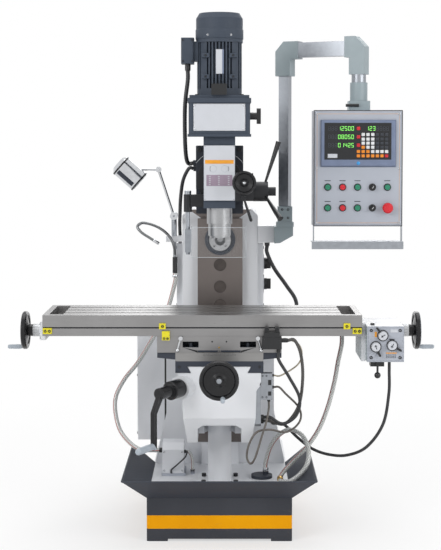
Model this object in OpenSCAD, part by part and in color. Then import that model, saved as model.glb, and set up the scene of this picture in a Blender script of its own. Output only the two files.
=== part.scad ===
// Universal knee mill: a vertical head on a ram, and a horizontal spindle in the column.
// Millimetres. X runs to the operator's right, Y to the back and Z up.
// The origin is on the floor, under the middle of the base.

/* [Base] */
// Width of the base plinth
base_w = 552; // [540:2:600]
// Depth of the base plinth
base_d = 960; // [940:10:1040]
// Height of the base plinth
base_h = 166; // [150:1:185]
// Side of a corner foot
foot_l = 80; // [60:1:100]
// Height of the gap between the feet
foot_h = 9; // [5:1:20]
// Radius of an anchor hole
anchor_r = 9; // [6:0.5:12]
// Depth of an anchor hole
anchor_deep = 60; // [30:5:90]

/* [Chip tray] */
// Height of the tray wall
tray_h = 84; // [60:1:100]
// How far the wall leans out
tray_flare = 88; // [60:1:100]
// Sheet thickness of the tray
tray_t = 3; // [2:0.5:5]
// Length of the side walls, from the front of the base
tray_l = 546; // [500:2:560]

/* [Column] */
// Width of the upper column
column_w = 314; // [300:2:330]
// Depth of the column behind its slideway
column_d = 395; // [360:5:420]
// Height of the column above the base
column_h = 1066; // [1040:2:1090]
// Width of the lower column
lower_w = 450; // [430:2:470]
// Width of the column's foot
column_foot_w = 536; // [500:2:536]
// Slideway face, behind the middle of the base
way_face = 26; // [20:1:40]
// Width of the slideway at its face
way_w = 186; // [170:2:200]
// Depth of the slideway
way_d = 25; // [18:1:32]

/* [Horizontal spindle] */
// Spindle axis, below the top of the column
spindle_drop = 124; // [115:1:135]
// Radius of the spindle nose
nose_r = 44.44; // [40:0.01:50]
// Length of the nose in front of the slideway
nose_l = 26; // [20:1:36]
// Radius of the cover ring
ring_r = 63; // [56:1:70]

/* [Knee] */
// Top of the knee, above the base
knee_rise = 502; // [490:1:515]
// Width of the knee
knee_w = 314; // [300:2:324]
// Length of the knee in front of the slideway
knee_l = 511; // [490:1:530]
// Radius of the elevating screw's housing
housing_r = 46; // [40:1:52]
// Radius of the elevating screw
screw_r = 20; // [15:1:24]

/* [Saddle and table] */
// Height of the saddle above the knee
saddle_h = 54; // [48:1:62]
// Width of the saddle
saddle_w = 332; // [324:2:344]
// Height of the swivel block
swivel_h = 63; // [58:1:72]
// Length of the swivel block
swivel_l = 468; // [440:2:500]
// Length of the table
table_l = 1200; // [1100:10:1300]
// Width of the table
table_w = 300; // [290:2:320]
// Height of the table
table_h = 79; // [74:1:90]
// Middle of the table, right of the column's middle plane
table_shift = -64; // [-80:1:-40]
// Width of a T-slot's mouth
slot_w = 14; // [12:1:18]
// Distance between T-slots
slot_pitch = 80; // [60:1:90]
// Table axis, in front of the slideway
table_reach = 372; // [365:1:385]
// Radius of the table screw
table_screw_r = 14; // [10:1:16]

/* [Handwheels] */
// Radius of a handwheel
wheel_r = 73; // [65:1:80]
// Radius of a handwheel's shaft
wheel_shaft_r = 10; // [8:0.5:12]
// Length of a handwheel's grip
wheel_grip_l = 60; // [45:1:80]
// Length of the knee crank's arm
crank_l = 185; // [170:1:195]

/* [Head] */
// Quill axis, in front of the slideway
quill_reach = 372; // [365:1:385]
// Tilt axis of the head, above the column
pivot_rise = 133; // [125:1:145]
// Width of the head
head_w = 120; // [116:2:130]
// Radius of the quill
quill_r = 43.5; // [38:0.5:46]
// Radius of the vertical spindle
spindle_r = 30; // [27:0.5:33]
// Width of the belt housing
housing_w = 240; // [220:2:260]
// Radius of the motor
motor_r = 85.5; // [78:0.5:92]
// Height of the motor
motor_h = 215; // [200:1:230]
// Height of the fan cover
fan_h = 98; // [80:1:110]
// Length of a quill lever
lever_l = 200; // [170:1:220]

/* [Control panel] */
// Width of the panel box
panel_w = 352; // [340:2:380]
// Height of the panel box
panel_h = 458; // [440:2:480]
// Depth of the panel box
panel_d = 120; // [90:1:130]
// Distance between the panel arm's two uprights
arm_l = 325; // [310:1:340]
// Angle of the arm towards the operator
arm_angle = 27.5; // [15:0.5:40]
// Distance between buttons in a row
button_pitch = 59; // [54:1:62]
// Radius of a push button
button_r = 10.7; // [9:0.1:12]

/* [Fits] */
// Gap between pieces that slide on each other
slide_gap = 0.3; // [0.3:0.05:0.5]
// Radial gap of a shaft in its bore
run_gap = 0.05; // [0.02:0.01:0.1]

/* [Hidden] */
$fn = 64;
tiny = 1;

column_front = way_face + way_d;
column_back = column_front + column_d;
column_top = base_h + column_h;
shoulder_z = column_top - 400;
lower_top_z = shoulder_z - 90;
lower_foot_z = base_h + 214;
column_chamfer = 26;
way_slope = 15;
way_top = column_top - 36;
way_bottom = base_h + 96;
way_foot_in = 6;
cover_t = 24;
cover_top = column_top - 143;
plug_r = 26;
plug_deep = 12;
plug_drops = [229, 320, 398];
spindle_z = column_top - spindle_drop;
spindle_back_r = 36;
spindle_l = 220;
nose_wall = 13;
key_at = 34;
ring_t = 12;
taper_r = 22.2;
taper_end_r = 12.7;
taper_l = 65;

knee_top = base_h + knee_rise;
knee_slide_h = 24;
knee_shoulder = knee_top - knee_slide_h;
knee_slide_w = 240;
knee_slide_slope = 13;
knee_front = way_face - knee_l;
knee_back = way_face - slide_gap;
knee_waist_z = knee_shoulder - 69;
knee_brow_z = knee_shoulder - 173;
knee_bottom = knee_shoulder - 278;
knee_waist_w = 280;
knee_brow_w = 274;
knee_bottom_w = 244;
knee_under = 55;
knee_wrap_z = knee_bottom + 40;
housing_y = knee_front + 211;
housing_top = knee_bottom + 64;
cavity_r = housing_r + 14;
cavity_top = housing_top + 110;
screw_bottom = base_h + 49;
screw_well = 85;
cross_z = knee_shoulder;
cross_boss_r = 24;
cross_boss_l = 36;
cross_wheel_y = knee_front - 159;
cross_shaft_in = 60;
crank_angle = 30;
crank_at = [-knee_w / 2 - 18, knee_front - 59, knee_shoulder - 54];
crank_boss_r = 44;
crank_shaft_r = 12;

saddle_bottom = knee_shoulder + slide_gap;
saddle_top = knee_top + saddle_h;
table_y = way_face - table_reach;
table_front = table_y - table_w / 2;
saddle_front = table_front + 9;
saddle_l = 282;
wing_root = 27;
wing_end = 20;
swivel_bottom = saddle_top + slide_gap;
swivel_top = saddle_top + swivel_h;
swivel_front = table_front + 2;
swivel_w = table_w - 4;
swivel_r = 60;
swivel_deep = 22;
rail_h = 23;
rail_w = 184;
rail_slope = 14;
window_w = 60;
window_h = 22;
window_x = 108;
stud_r = 7;
table_bottom = swivel_top + slide_gap;
table_top = swivel_top + table_h;
table_x0 = table_shift - table_l / 2;
table_x1 = table_shift + table_l / 2;
screw_z = swivel_top + 1;
channel_w = 2 * table_screw_r + 4;
nut_l = 80;
groove_h = 5;
groove_deep = 8;
groove_z = swivel_top + 29;
slot_neck = 14;
slot_head_w = slot_w + 10;
slot_head_h = 10;
pocket_l = 53;
pocket_in = 22;
pocket_w = table_w - 50;
pocket_deep = 30;
stop_t = 8;
bracket_l = 30;
plate_l = 16;
gear_l = 138;
gear_front = table_front - 28;
gear_back = table_y + 56;
gear_bottom = swivel_top - 93;
gear_top = swivel_top + 41;
gear_x0 = table_x1 + plate_l;
gear_x1 = gear_x0 + gear_l;
dial_r = 17.5;
dial_shaft_r = 5;
dials = [[58, 100, 128], [32, 58, -65], [93, 63, -30]];
ball_x = gear_x0 + 42;
ball_y = gear_front + 50;
ball_z = gear_bottom - 12;
clamp_x = 145;
clamp_z = swivel_top - 7;
clamp_l = 47;
clamp_lean = 15;
stop_x = -215;
stop_w = 29;
switch_x = 160;
switch_w = 73;
switch_drop = 43;

hub_l = 30;
hub_r = 23;
grip_r = 9;

quill_y = way_face - quill_reach;
pivot_z = column_top + pivot_rise;
face_y = quill_y + 52;
ram_w = 184;
ram_top = pivot_z + 130;
ram_front = face_y + 32;
ram_back = column_back + 42;
ram_rail_h = 30;
ram_closed = 42;
ram_neck = 112;
ram_slope = 17;
plate_bottom = pivot_z - 37;
plate_top = pivot_z + 134;
spigot_r = 30;
spigot_l = 20;
flange_r = 88;
flange_t = 32;
head_front = quill_y - 93;
head_bottom = pivot_z - 103;
head_top = pivot_z + 168;
guide_r = quill_r + 5.5;
guide_l = 63;
guide_bottom = head_bottom - guide_l;
quill_bottom = guide_bottom - 46;
quill_top = pivot_z + 135;
spline_r = 14;
spline_top = head_top + 77;
gear_side_x = head_w / 2 + 68;
gear_side_z0 = pivot_z - 75;
gear_side_z1 = pivot_z + 30;
pinion_y = quill_y - 28;
pinion_z = pivot_z - 41;
pinion_r = 12;
drum_r = 38;
drum_l = 57;
fine_x = head_w / 2 + 33;
fine_z = pivot_z - 4;
fine_r = 45;
fine_shaft_r = 8;
lock_x = head_w / 2 + 32;
lock_z = gear_side_z0 + 12;
guard_x = -head_w / 2 - 61;
guard_y = quill_y - 34;
guard_rod_r = 8;
guard_boss_z0 = pivot_z - 119;
guard_boss_z1 = pivot_z - 52;
shield_z0 = quill_bottom - 78;
shield_z1 = quill_bottom + 37;
shield_x0 = -108;
shield_x1 = 102;
shield_front = quill_y - 86;
shield_back = quill_y - 4;
shield_t = 4;
belt_front = quill_y - 108;
belt_back = quill_y + 111;
belt_top = head_top + 146;
motor_z = belt_top + 11;
motor_top = motor_z + motor_h;
fan_r = motor_r + 4;
fan_wall = 3;
box_x = motor_r + 11.5;
belt_lever_z = head_top + 79;
belt_lever_y = quill_y - 10;

post = [268, way_face];
post_w = 44;
post_d = 30;
post_z0 = column_top + 15;
post_z1 = column_top + 550;
post_spigot_r = 15;
socket_z0 = column_top - 138;
bracket_x = column_w / 2 + 67;
arm_z0 = post_z1 + 75;
arm_z1 = post_z1 + 135;
elbow_w = 66;
elbow_d = 50;
stem = [post[0] + arm_l * cos(arm_angle), post[1] - arm_l * sin(arm_angle)];
stem_r = 29;
stem_spigot_r = 20;
stem_z = post_z1 - 32;
panel_top = stem_z - 113;
panel_x0 = stem[0] - 185;
panel_y0 = stem[1] - 78;
panel_z0 = panel_top - panel_h;
socket_h = 71;
readout_w = 298;
readout_h = 186;
readout_z0 = panel_top - 37 - readout_h;
readout_t = 4;
button_x = panel_x0 + 56;
button_rows = [panel_z0 + 155, panel_z0 + 73];
bezel_r = 14.5;
bezel_t = 4;
button_deep = 25;
button_out = 7;
shelf_z = panel_z0 - 58;
shelf_t = 3;

lamp_y = 46;
lamp_base = [-column_w / 2 - 35, lamp_y, column_top - 27];
lamp_elbow = [-column_w / 2 - 98, lamp_y, column_top + 166];
lamp_plate_z = column_top - 135;
knuckle_r = 12;
base_knuckle_r = 16;
knuckle_t = 12;
pin_r = 4;
drum_lamp_r = 46;
drum_lamp_l = 120;
drum_lamp_at = [-378, column_top + 153];
valve_z = column_top - 264;
valve_x = -column_w / 2 - 31;

cabinet_x = -lower_w / 2 - 124;
cabinet_top = shoulder_z - 42;
pump_at = [-233, -150];
pump_size = [88, 110, 105];
pump_top = 125;
pump_inlet = 92;
strainer_at = [168, -176];

reader_at = [knee_w / 2, knee_front + 9, knee_shoulder - 104];
reader_w = 43;

// Routes of the hoses and cables, whose ends meet the glands square
drain_at = [table_x1 - 54, table_y + 106, swivel_top - 16];
feed_at = [gear_x0 + 96, gear_front + 104, gear_bottom - 12];
knee_gland = [knee_w / 2 + 11, knee_front + 54, knee_shoulder - 186];
supply_route = [[valve_x, lamp_y, valve_z], [valve_x, lamp_y, valve_z - 40], [-232, 66, 775],
    [-277, 72, 699], [-344, 70, 590], [-400, 62, 520], [-436, 46, 448], [-434, 18, 376],
    [-406, -20, 308], [-340, -76, 260], [-270, pump_at[1] + 50, base_h + pump_inlet],
    [pump_at[0] - 14, pump_at[1] + 50, base_h + pump_inlet]];
loop_route = [[strainer_at[0] + 16, strainer_at[1], base_h + 25],
    [strainer_at[0] + 16, strainer_at[1], 225], [206, -178, 296], [244, -188, 346], [284, -210, 366],
    [326, -256, 354], [348, -302, 308], [340, -334, 258], [308, -346, 218], [270, -340, 192],
    [241, -308, 184], [238, -280, 184]];
arm_route = [[196, way_face + 44, socket_z0 - 14], [196, way_face + 44, 1050], [226, 62, 985],
    [278, 86, 910], [320, 124, 840], [318, 146, 760], [256, 150, 700],
    [lower_w / 2, 150, 700]];
outlet_route = [[-138, -124, 258], [-128, -124, 258], [-115, -124, 240], [-111, -124, 212],
    [-111, -124, 184]];
pump_cable_route = [[-139, -142, 262], [-133, -142, 262], [-140, -162, 244], [-172, -166, 214],
    [-196, -154, 190], [-196, -154, base_h + 10]];
drain_route = [drain_at, drain_at + [0, 0, -54], drain_at + [-14, 0, -124], [454, -240, 565],
    [428, -242, 465], [394, -246, 380], [350, -246, 312], [300, -238, 256], [262, -236, 214],
    [241, -252, 191], [238, -271, 187]];
feed_route = [feed_at, feed_at + [0, 0, -40], feed_at + [0, 8, -130], [628, -398, 430],
    [570, -365, 335], [500, -315, 290], [430, -264, 280], [366, -222, 294], [310, -180, 330],
    [264, -160, 372], [234, -220, 396], [206, -350, 424], knee_gland + [20, 24, 0],
    knee_gland + [0, 24, 0]];
switch_route_a = [[222, swivel_front - 26, 730], [222, swivel_front - 26, 700], [262, -508, 632],
    [302, -493, 550], [290, -474, 480], [240, -462, 446], knee_gland + [24, -27, 12],
    knee_gland + [0, -27, 12]];
switch_route_b = [[256, swivel_front - 21, 772], [282, swivel_front - 21, 772], [306, -504, 716],
    [314, -484, 620], [300, -450, 510], [250, -434, 440], knee_gland + [24, 0, -8],
    knee_gland + [0, 0, -8]];
scale_route = [[swivel_l / 2, -470, 770], [256, -470, 770], [298, -476, 752], [311, -480, 714],
    [294, -474, 672], [reader_at[0] + reader_w + 34, reader_at[1] + 18, 630],
    [reader_at[0] + reader_w + 6, reader_at[1] + 18, 630]];
reader_route = [reader_at + [30, 14, -8], reader_at + [30, 14, -36], [178, -484, 460],
    [160, -494, 405], [136, -490, 325], [118, -482, 298], [104, -478, 322], [112, -478, 370],
    [140, -478, 416], [190, -466, 424], [258, -432, 408], [306, -426, 446], [304, -434, 500],
    [250, -452, 560], [reader_at[0] + reader_w + 26, reader_at[1] + 18, 585],
    [reader_at[0] + reader_w + 6, reader_at[1] + 18, 585]];
motor_route = [[-121.5, quill_y, 1786], [-121.5, quill_y, 1750], [-132, -340, 1660], [-134, -320, 1560],
    [-132, -280, 1470], [-124, -240, 1430], [-104, -240, 1430]];
column_route = [[-104, -196, 1408], [-122, -196, 1408], [-146, -172, 1360], [-158, -110, 1290],
    [-164, -20, 1224], [-169, 80, 1160], [-169, 124, 1116], [-169, 124, cover_top]];
spout_route = [[valve_x, lamp_y, valve_z + 66], [valve_x, lamp_y, valve_z + 78], [-190, 27, 1074],
    [-198, 22, 1102], [-212, 20, 1124], [-232, 19, 1144], [-260, 18, 1162], [-292, 17, 1174],
    [-323, 16, 1178], [-341, 8, 1163], [-325, 0, 1141], [-290, -4, 1118], [-252, -6, 1094]];

// Extrudes an outline of X and Z along Y
module along_y(y0, y1) {
    translate([0, y1, 0]) rotate([90, 0, 0]) linear_extrude(y1 - y0) children();
}

// Extrudes an outline of Y and Z along X
module along_x(x0, x1) {
    translate([x0, 0, 0]) rotate([90, 0, 90]) linear_extrude(x1 - x0) children();
}

module rod_x(y, z, x0, x1, r) {
    translate([x0, y, z]) rotate([0, 90, 0]) cylinder(h = x1 - x0, r = r);
}

module rod_y(x, z, y0, y1, r) {
    translate([x, y0, z]) rotate([-90, 0, 0]) cylinder(h = y1 - y0, r = r);
}

module rod_z(x, y, z0, z1, r) {
    translate([x, y, z0]) cylinder(h = z1 - z0, r = r);
}

// A gland at the end of a route, along X to a face
module gland_x(p, x, r) {
    rod_x(p[1], p[2], min(p[0], x), max(p[0], x), r);
}

// A gland at the end of a route, up Z to a face
module gland_z(p, z, r) {
    rod_z(p[0], p[1], min(p[2], z), max(p[2], z), r);
}

// A box between two corners
module block(a, b) {
    translate(a) cube(b - a);
}

// A rectangle with round corners
module round_rect(w, d, r) {
    square([w - 2 * r, d], center = true);
    square([w, d - 2 * r], center = true);
    for (x = [-1, 1], y = [-1, 1]) translate([x * (w / 2 - r), y * (d / 2 - r)]) circle(r);
}

// A box with round upright edges, on its middle
module post_box(w, d, h, r) {
    linear_extrude(h) round_rect(w, d, r);
}

function last(p) = p[len(p) - 1];
function unit(v) = v / norm(v);
function tangent(p, i) = unit(p[min(i + 1, len(p) - 1)] - p[max(i - 1, 0)]);
function ring_points(p, i, r, n) = let (t = tangent(p, i), a = unit(cross(t, [0.1, 1, 0.05])),
    b = cross(t, a))
    [for (k = [0 : n - 1]) p[i] + r * (cos(360 * k / n) * a + sin(360 * k / n) * b)];

// A tube along a route
module sweep(p, r, n = 8) {
    last = len(p) - 1;
    sides = [for (i = [0 : last - 1], k = [0 : n - 1], half = [0, 1]) let (j = (k + 1) % n, a = i * n,
        b = a + n) half == 0 ? [a + k, b + k, b + j] : [a + k, b + j, a + j]];
    caps = [[for (k = [0 : n - 1]) k], [for (k = [n - 1 : -1 : 0]) last * n + k]];
    polyhedron(points = [for (i = [0 : last]) each ring_points(p, i, r, n)], faces = concat(caps, sides));
}

// Section of the column's upright slideway, with a gap round it
module way_section(gap) {
    root = way_w / 2 - way_slope + gap;
    face = way_w / 2 + gap;
    polygon([[-root, column_front + tiny], [-face, way_face - gap], [face, way_face - gap],
        [root, column_front + tiny]]);
}

// Section of the rail on top of the column that carries the ram, with a gap round it
module ram_rail(gap) {
    neck = ram_neck / 2 + gap;
    top = neck + ram_slope;
    polygon([[-neck, column_top - tiny], [neck, column_top - tiny], [top, column_top + ram_rail_h + gap],
        [-top, column_top + ram_rail_h + gap]]);
}

module base_plinth() {
    color([0.27, 0.28, 0.30]) difference() {
        post_box(base_w, base_d, base_h, 8);
        block([-base_w / 2 + foot_l, -base_d / 2 - tiny, -tiny],
            [base_w / 2 - foot_l, base_d / 2 + tiny, foot_h]);
        block([-base_w / 2 - tiny, -base_d / 2 + foot_l, -tiny],
            [base_w / 2 + tiny, base_d / 2 - foot_l, foot_h]);
        for (x = [-1, 1], y = [-1, 1])
            rod_z(x * (base_w - foot_l) / 2, y * (base_d - foot_l) / 2, -tiny, anchor_deep, anchor_r);
        rod_z(0, housing_y, base_h - screw_well, base_h + tiny, screw_r + 2);
    }
}

// A tapered block whose rear face stays upright
module tray_form(w, l, flare, h) {
    polyhedron(points = [[-w / 2, -l, 0], [w / 2, -l, 0], [w / 2, 0, 0], [-w / 2, 0, 0],
            [-w / 2 - flare, -l - flare, h], [w / 2 + flare, -l - flare, h], [w / 2 + flare, 0, h],
                [-w / 2 - flare, 0, h]],
        faces = [[0, 1, 2, 3], [4, 7, 6, 5], [0, 4, 5, 1], [1, 5, 6, 2], [2, 6, 7, 3], [3, 7, 4, 0]]);
}

module chip_tray() {
    lean = tray_flare / tray_h;
    wall = tray_t * sqrt(1 + lean * lean);
    rear = tray_l - base_d / 2;
    color([0.24, 0.26, 0.29]) translate([0, rear, base_h]) difference() {
        tray_form(base_w, tray_l, tray_flare, tray_h);
        translate([0, 0, -tiny])
            tray_form(base_w - 2 * (wall + lean * tiny), tray_l - wall - lean * tiny,
                tray_flare * (tray_h + 2 * tiny) / tray_h, tray_h + 2 * tiny);
        translate([-base_w, 0, 0]) rotate([24, 0, 0]) translate([0, 0, -tray_h])
            cube([2 * base_w, tray_h, 4 * tray_h]);
    }
}

module column_section() {
    top = column_w / 2 - column_chamfer;
    right = [[column_foot_w / 2, base_h], [column_foot_w / 2, base_h + 17],
        [lower_w / 2, lower_foot_z], [lower_w / 2, lower_top_z], [column_w / 2, shoulder_z],
        [column_w / 2, column_top - column_chamfer], [top, column_top]];
    left = [for (i = [len(right) - 1 : -1 : 0]) [-right[i][0], right[i][1]]];
    polygon(concat(right, left));
}

module column() {
    color("whitesmoke") difference() {
        union() {
            along_y(column_front, column_back) column_section();
            translate([0, 0, way_bottom]) linear_extrude(way_top - way_bottom) way_section(0);
            block([-way_w / 2 + way_slope, way_face + way_foot_in, base_h],
                [way_w / 2 - way_slope, column_front + tiny, way_bottom]);
            for (side = [-1, 1]) block([side * column_w / 2 - cover_t, column_front + 16,
                shoulder_z - 20], [side * column_w / 2 + cover_t, column_back - 40, cover_top]);
            along_y(column_front, column_back) ram_rail(0);
        }
        rod_y(0, spindle_z, way_face - tiny, way_face + spindle_l, spindle_back_r + run_gap);
        for (drop = plug_drops) rod_y(0, column_top - drop, way_face - tiny, way_face + plug_deep,
            plug_r);
    }
}

// Plugs in the slideway, the ring round the spindle, and the bracket of the lamp and the coolant spout
module column_fittings() {
    color([0.15, 0.15, 0.16]) {
        for (drop = plug_drops) rod_y(0, column_top - drop, way_face + 2, way_face + plug_deep, plug_r);
        difference() {
            rod_y(0, spindle_z, way_face - ring_t, way_face, ring_r);
            rod_y(0, spindle_z, way_face - ring_t - tiny, way_face + tiny, nose_r + 2);
        }
    }
    color("whitesmoke") block([-column_w / 2 - 68, column_front, lamp_plate_z],
        [-column_w / 2, column_front + 50, lamp_plate_z + 24]);
    color("silver") {
        rod_z(lamp_base[0], column_front + 18, lamp_plate_z + 24, lamp_base[2], 11);
        rod_y(lamp_base[0], lamp_base[2], lamp_y, column_front + 36, base_knuckle_r);
        rod_y(lamp_base[0], lamp_base[2], lamp_y - knuckle_t - 2, lamp_y, pin_r);
        block([valve_x - 8, lamp_y + 14, valve_z + 46], [valve_x + 6, lamp_y + 24, lamp_plate_z]);
        block([valve_x - 8, lamp_y, valve_z + 46], [valve_x + 6, lamp_y + 24, valve_z + 60]);
        sweep(spout_route, 5);
    }
    color([0.2, 0.2, 0.2]) rod_z(valve_x, lamp_y, valve_z, valve_z + 66, 10);
}

module cabinet() {
    front = column_front + 75;
    back = column_front + 336;
    color("whitesmoke") difference() {
        union() {
            block([cabinet_x, front, base_h + 83], [-column_w / 2, back, cabinet_top]);
            block([cabinet_x - 3, front + 15, base_h + 98], [cabinet_x, back - 15, cabinet_top - 15]);
        }
        along_y(column_front, column_back) column_section();
    }
}

module screw_housing() {
    color("whitesmoke") difference() {
        union() {
            rod_z(0, housing_y, base_h, housing_top, housing_r);
            translate([0, housing_y, base_h]) post_box(170, 146, 16, 12);
            for (x = [-63, 63], y = [-53, 53]) rod_z(x, housing_y + y, base_h + 16, base_h + 28, 9);
        }
        rod_z(0, housing_y, base_h - tiny, housing_top + tiny, screw_r + run_gap);
    }
}

// Pump under its cover, and the strainer that stands beside it in the tray
module coolant_pump() {
    x1 = pump_at[0] + pump_size[0];
    y1 = pump_at[1] + pump_size[1];
    color("whitesmoke") {
        block([pump_at[0], pump_at[1], base_h + 10], [x1, y1, base_h + pump_size[2]]);
        along_x(pump_at[0], x1) polygon([[pump_at[1], base_h + pump_size[2]], [y1, base_h + pump_size[2]],
            [y1, base_h + pump_top], [pump_at[1] + 45, base_h + pump_top]]);
    }
    color([0.15, 0.15, 0.16]) {
        block([pump_at[0] - 2, pump_at[1] - 6, base_h], [x1 + 6, y1 + 6, base_h + 10]);
        gland_x(last(supply_route), pump_at[0], 10);
        gland_x(outlet_route[0], x1, 7);
        gland_x(pump_cable_route[0], x1, 4);
        gland_z(last(outlet_route), base_h, 9);
        rod_z(strainer_at[0], strainer_at[1], base_h, base_h + 12, 42);
        gland_z(loop_route[0], base_h + 12, 12);
    }
}

module panel_bracket() {
    top = socket_z0 + 69;
    right = post[0] + elbow_w / 2;
    color("whitesmoke") block([column_w / 2, way_face + 20, socket_z0], [bracket_x, way_face + 80, top]);
    color([0.6, 0.66, 0.68]) difference() {
        union() {
            along_y(way_face - 24, way_face + 84)
                polygon([[bracket_x, socket_z0], [bracket_x + 24, socket_z0 + 2],
                [right, socket_z0 + 32], [right, top], [bracket_x, top]]);
            translate([post[0], post[1], top]) post_box(elbow_w + 6, elbow_d + 6, 20, 6);
            translate([post[0], post[1], top + 20]) post_box(60, elbow_d,
                post_z0 - slide_gap - top - 20, 6);
        }
        rod_z(post[0], post[1], socket_z0 + 40, post_z0 + tiny, post_spigot_r + run_gap);
    }
    color([0.15, 0.15, 0.16]) gland_z(arm_route[0], socket_z0, 11);
}

// Hoses and the panel cable that stay with the column
module base_lines() {
    color([0.7, 0.7, 0.68]) {
        sweep(supply_route, 9);
        sweep(loop_route, 9);
        sweep(outlet_route, 6);
    }
    color([0.2, 0.2, 0.2]) {
        sweep(arm_route, 8);
        sweep(pump_cable_route, 3);
    }
}

module horizontal_spindle() {
    nose_y = way_face - nose_l;
    color("silver") difference() {
        union() {
            rod_y(0, spindle_z, nose_y, nose_y + nose_wall, nose_r);
            rod_y(0, spindle_z, nose_y + nose_wall, way_face - slide_gap, nose_r - 2);
            rod_y(0, spindle_z, way_face - slide_gap, way_face + spindle_l - 10, spindle_back_r);
            for (x = [-1, 1]) block([x * key_at - 9, nose_y - 8, spindle_z - 8],
                [x * key_at + 9, nose_y, spindle_z + 8]);
        }
        translate([0, nose_y, spindle_z]) rotate([-90, 0, 0]) translate([0, 0, -tiny])
            cylinder(h = taper_l + tiny, r1 = taper_r, r2 = taper_end_r);
        for (a = [45 : 90 : 315]) rod_y(33.35 * cos(a), spindle_z + 33.35 * sin(a), nose_y - tiny,
            nose_y + 22, 5.1);
    }
}

// A knob with a grip across it on the right side of the column
module speed_knob(drop) {
    x = column_w / 2 + cover_t + slide_gap;
    translate([x, column_front + 50, column_top - drop]) rotate([0, 90, 0]) {
        cylinder(h = 14, r = 24);
        translate([0, 0, 14]) linear_extrude(17) round_rect(44, 14, 6);
    }
}

module speed_knob_upper() {
    color([0.12, 0.12, 0.13]) speed_knob(229);
}

module speed_knob_lower() {
    color([0.12, 0.12, 0.13]) speed_knob(315);
}

module knee_section() {
    top = knee_slide_w / 2;
    right = [[knee_bottom_w / 2, knee_bottom], [knee_brow_w / 2, knee_brow_z],
        [knee_waist_w / 2, knee_waist_z], [knee_w / 2, knee_waist_z + 35], [knee_w / 2, knee_shoulder],
        [top - knee_slide_slope, knee_shoulder], [top, knee_top]];
    left = [for (i = [len(right) - 1 : -1 : 0]) [-right[i][0], right[i][1]]];
    polygon(concat(right, left));
}

// Frame of the knee crank: Z runs out along its shaft and Y up
module crank_frame() {
    translate(crank_at) rotate([0, 0, -crank_angle]) rotate([90, 0, 0]) children();
}

module knee() {
    window = 83;
    color("whitesmoke") difference() {
        union() {
            along_y(knee_front, knee_back) knee_section();
            block([-knee_w / 2, knee_back - 90, knee_wrap_z],
                [knee_w / 2, knee_back + way_d - 2, knee_shoulder]);
            rod_y(0, cross_z, knee_front - cross_boss_l, knee_front + tiny, cross_boss_r);
            crank_frame() translate([0, 0, -130]) cylinder(h = 80, r = crank_boss_r);
            block([knee_waist_w / 2 - 20, knee_front + 12, knee_waist_z - 137],
                [knee_w / 2, knee_front + 90, knee_waist_z + 20]);
        }
        translate([0, 0, knee_bottom - tiny])
            linear_extrude(knee_shoulder - knee_bottom + 4 * knee_slide_h)
            way_section(slide_gap);
        along_x(-knee_w, knee_w) polygon([[knee_front - tiny, knee_brow_z], [knee_front, knee_brow_z],
            [knee_front + knee_under, knee_bottom - tiny], [knee_front - tiny, knee_bottom - tiny]]);
        rod_z(0, housing_y, knee_bottom - tiny, cavity_top, cavity_r);
        along_y(knee_front - tiny, housing_y)
            polygon([[-window, knee_bottom - tiny], [window, knee_bottom - tiny],
            [window, knee_bottom + 60], [window - 20, knee_bottom + 74],
            [-window + 20, knee_bottom + 74], [-window, knee_bottom + 60]]);
        rod_z(0, housing_y, cavity_top - tiny, cavity_top + 40, screw_r);
        rod_y(0, cross_z, knee_front - cross_boss_l - tiny, knee_front + cross_shaft_in,
            wheel_shaft_r + run_gap);
        crank_frame() translate([0, 0, -110]) cylinder(h = 70, r = crank_shaft_r + run_gap);
    }
    color([0.15, 0.15, 0.16]) {
        for (route = [switch_route_a, switch_route_b, feed_route]) gland_x(last(route), knee_w / 2, 10);
        gland_z(reader_route[0], reader_at[2], 6);
        gland_x(last(reader_route), reader_at[0] + reader_w, 6);
        gland_x(last(scale_route), reader_at[0] + reader_w, 5);
    }
    color([0.75, 0.77, 0.8]) block(reader_at, reader_at + [reader_w, 36, 100]);
}

module knee_screw() {
    color("silver") rod_z(0, housing_y, screw_bottom, cavity_top + 40, screw_r);
}

// Cables from the limit switch and the table scale down to the knee, and the slack of the knee's reader
module switch_cables() {
    color([0.2, 0.2, 0.2]) {
        sweep(switch_route_a, 6);
        sweep(switch_route_b, 6);
        sweep(scale_route, 3);
        sweep(reader_route, 4);
    }
}

module knee_crank() {
    arm_t = 18;
    crank_frame() {
        color([0.13, 0.13, 0.14]) {
            translate([0, 0, -105]) cylinder(h = 60, r = crank_shaft_r);
            rotate_extrude() polygon([[0, -50 + slide_gap], [32, -50 + slide_gap], [35, -46], [35, 14],
                [31, 18],
                [26, 18], [26, 26], [22, 26], [22, 92], [18, 96], [0, 96]]);
            rotate([0, -90, 0]) translate([0, 0, -arm_t / 2]) linear_extrude(arm_t)
                polygon([[64, 0], [92, 0], [134, -62], [134, -crank_l - 13], [118, -crank_l - 13],
                    [118, -68]]);
        }
        color([0.65, 0.68, 0.72]) translate([0, -crank_l, 134]) rotate_extrude()
            polygon([[0, 0], [11, 0], [13, 30], [12, 95], [9, 100], [0, 100]]);
    }
}

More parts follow.
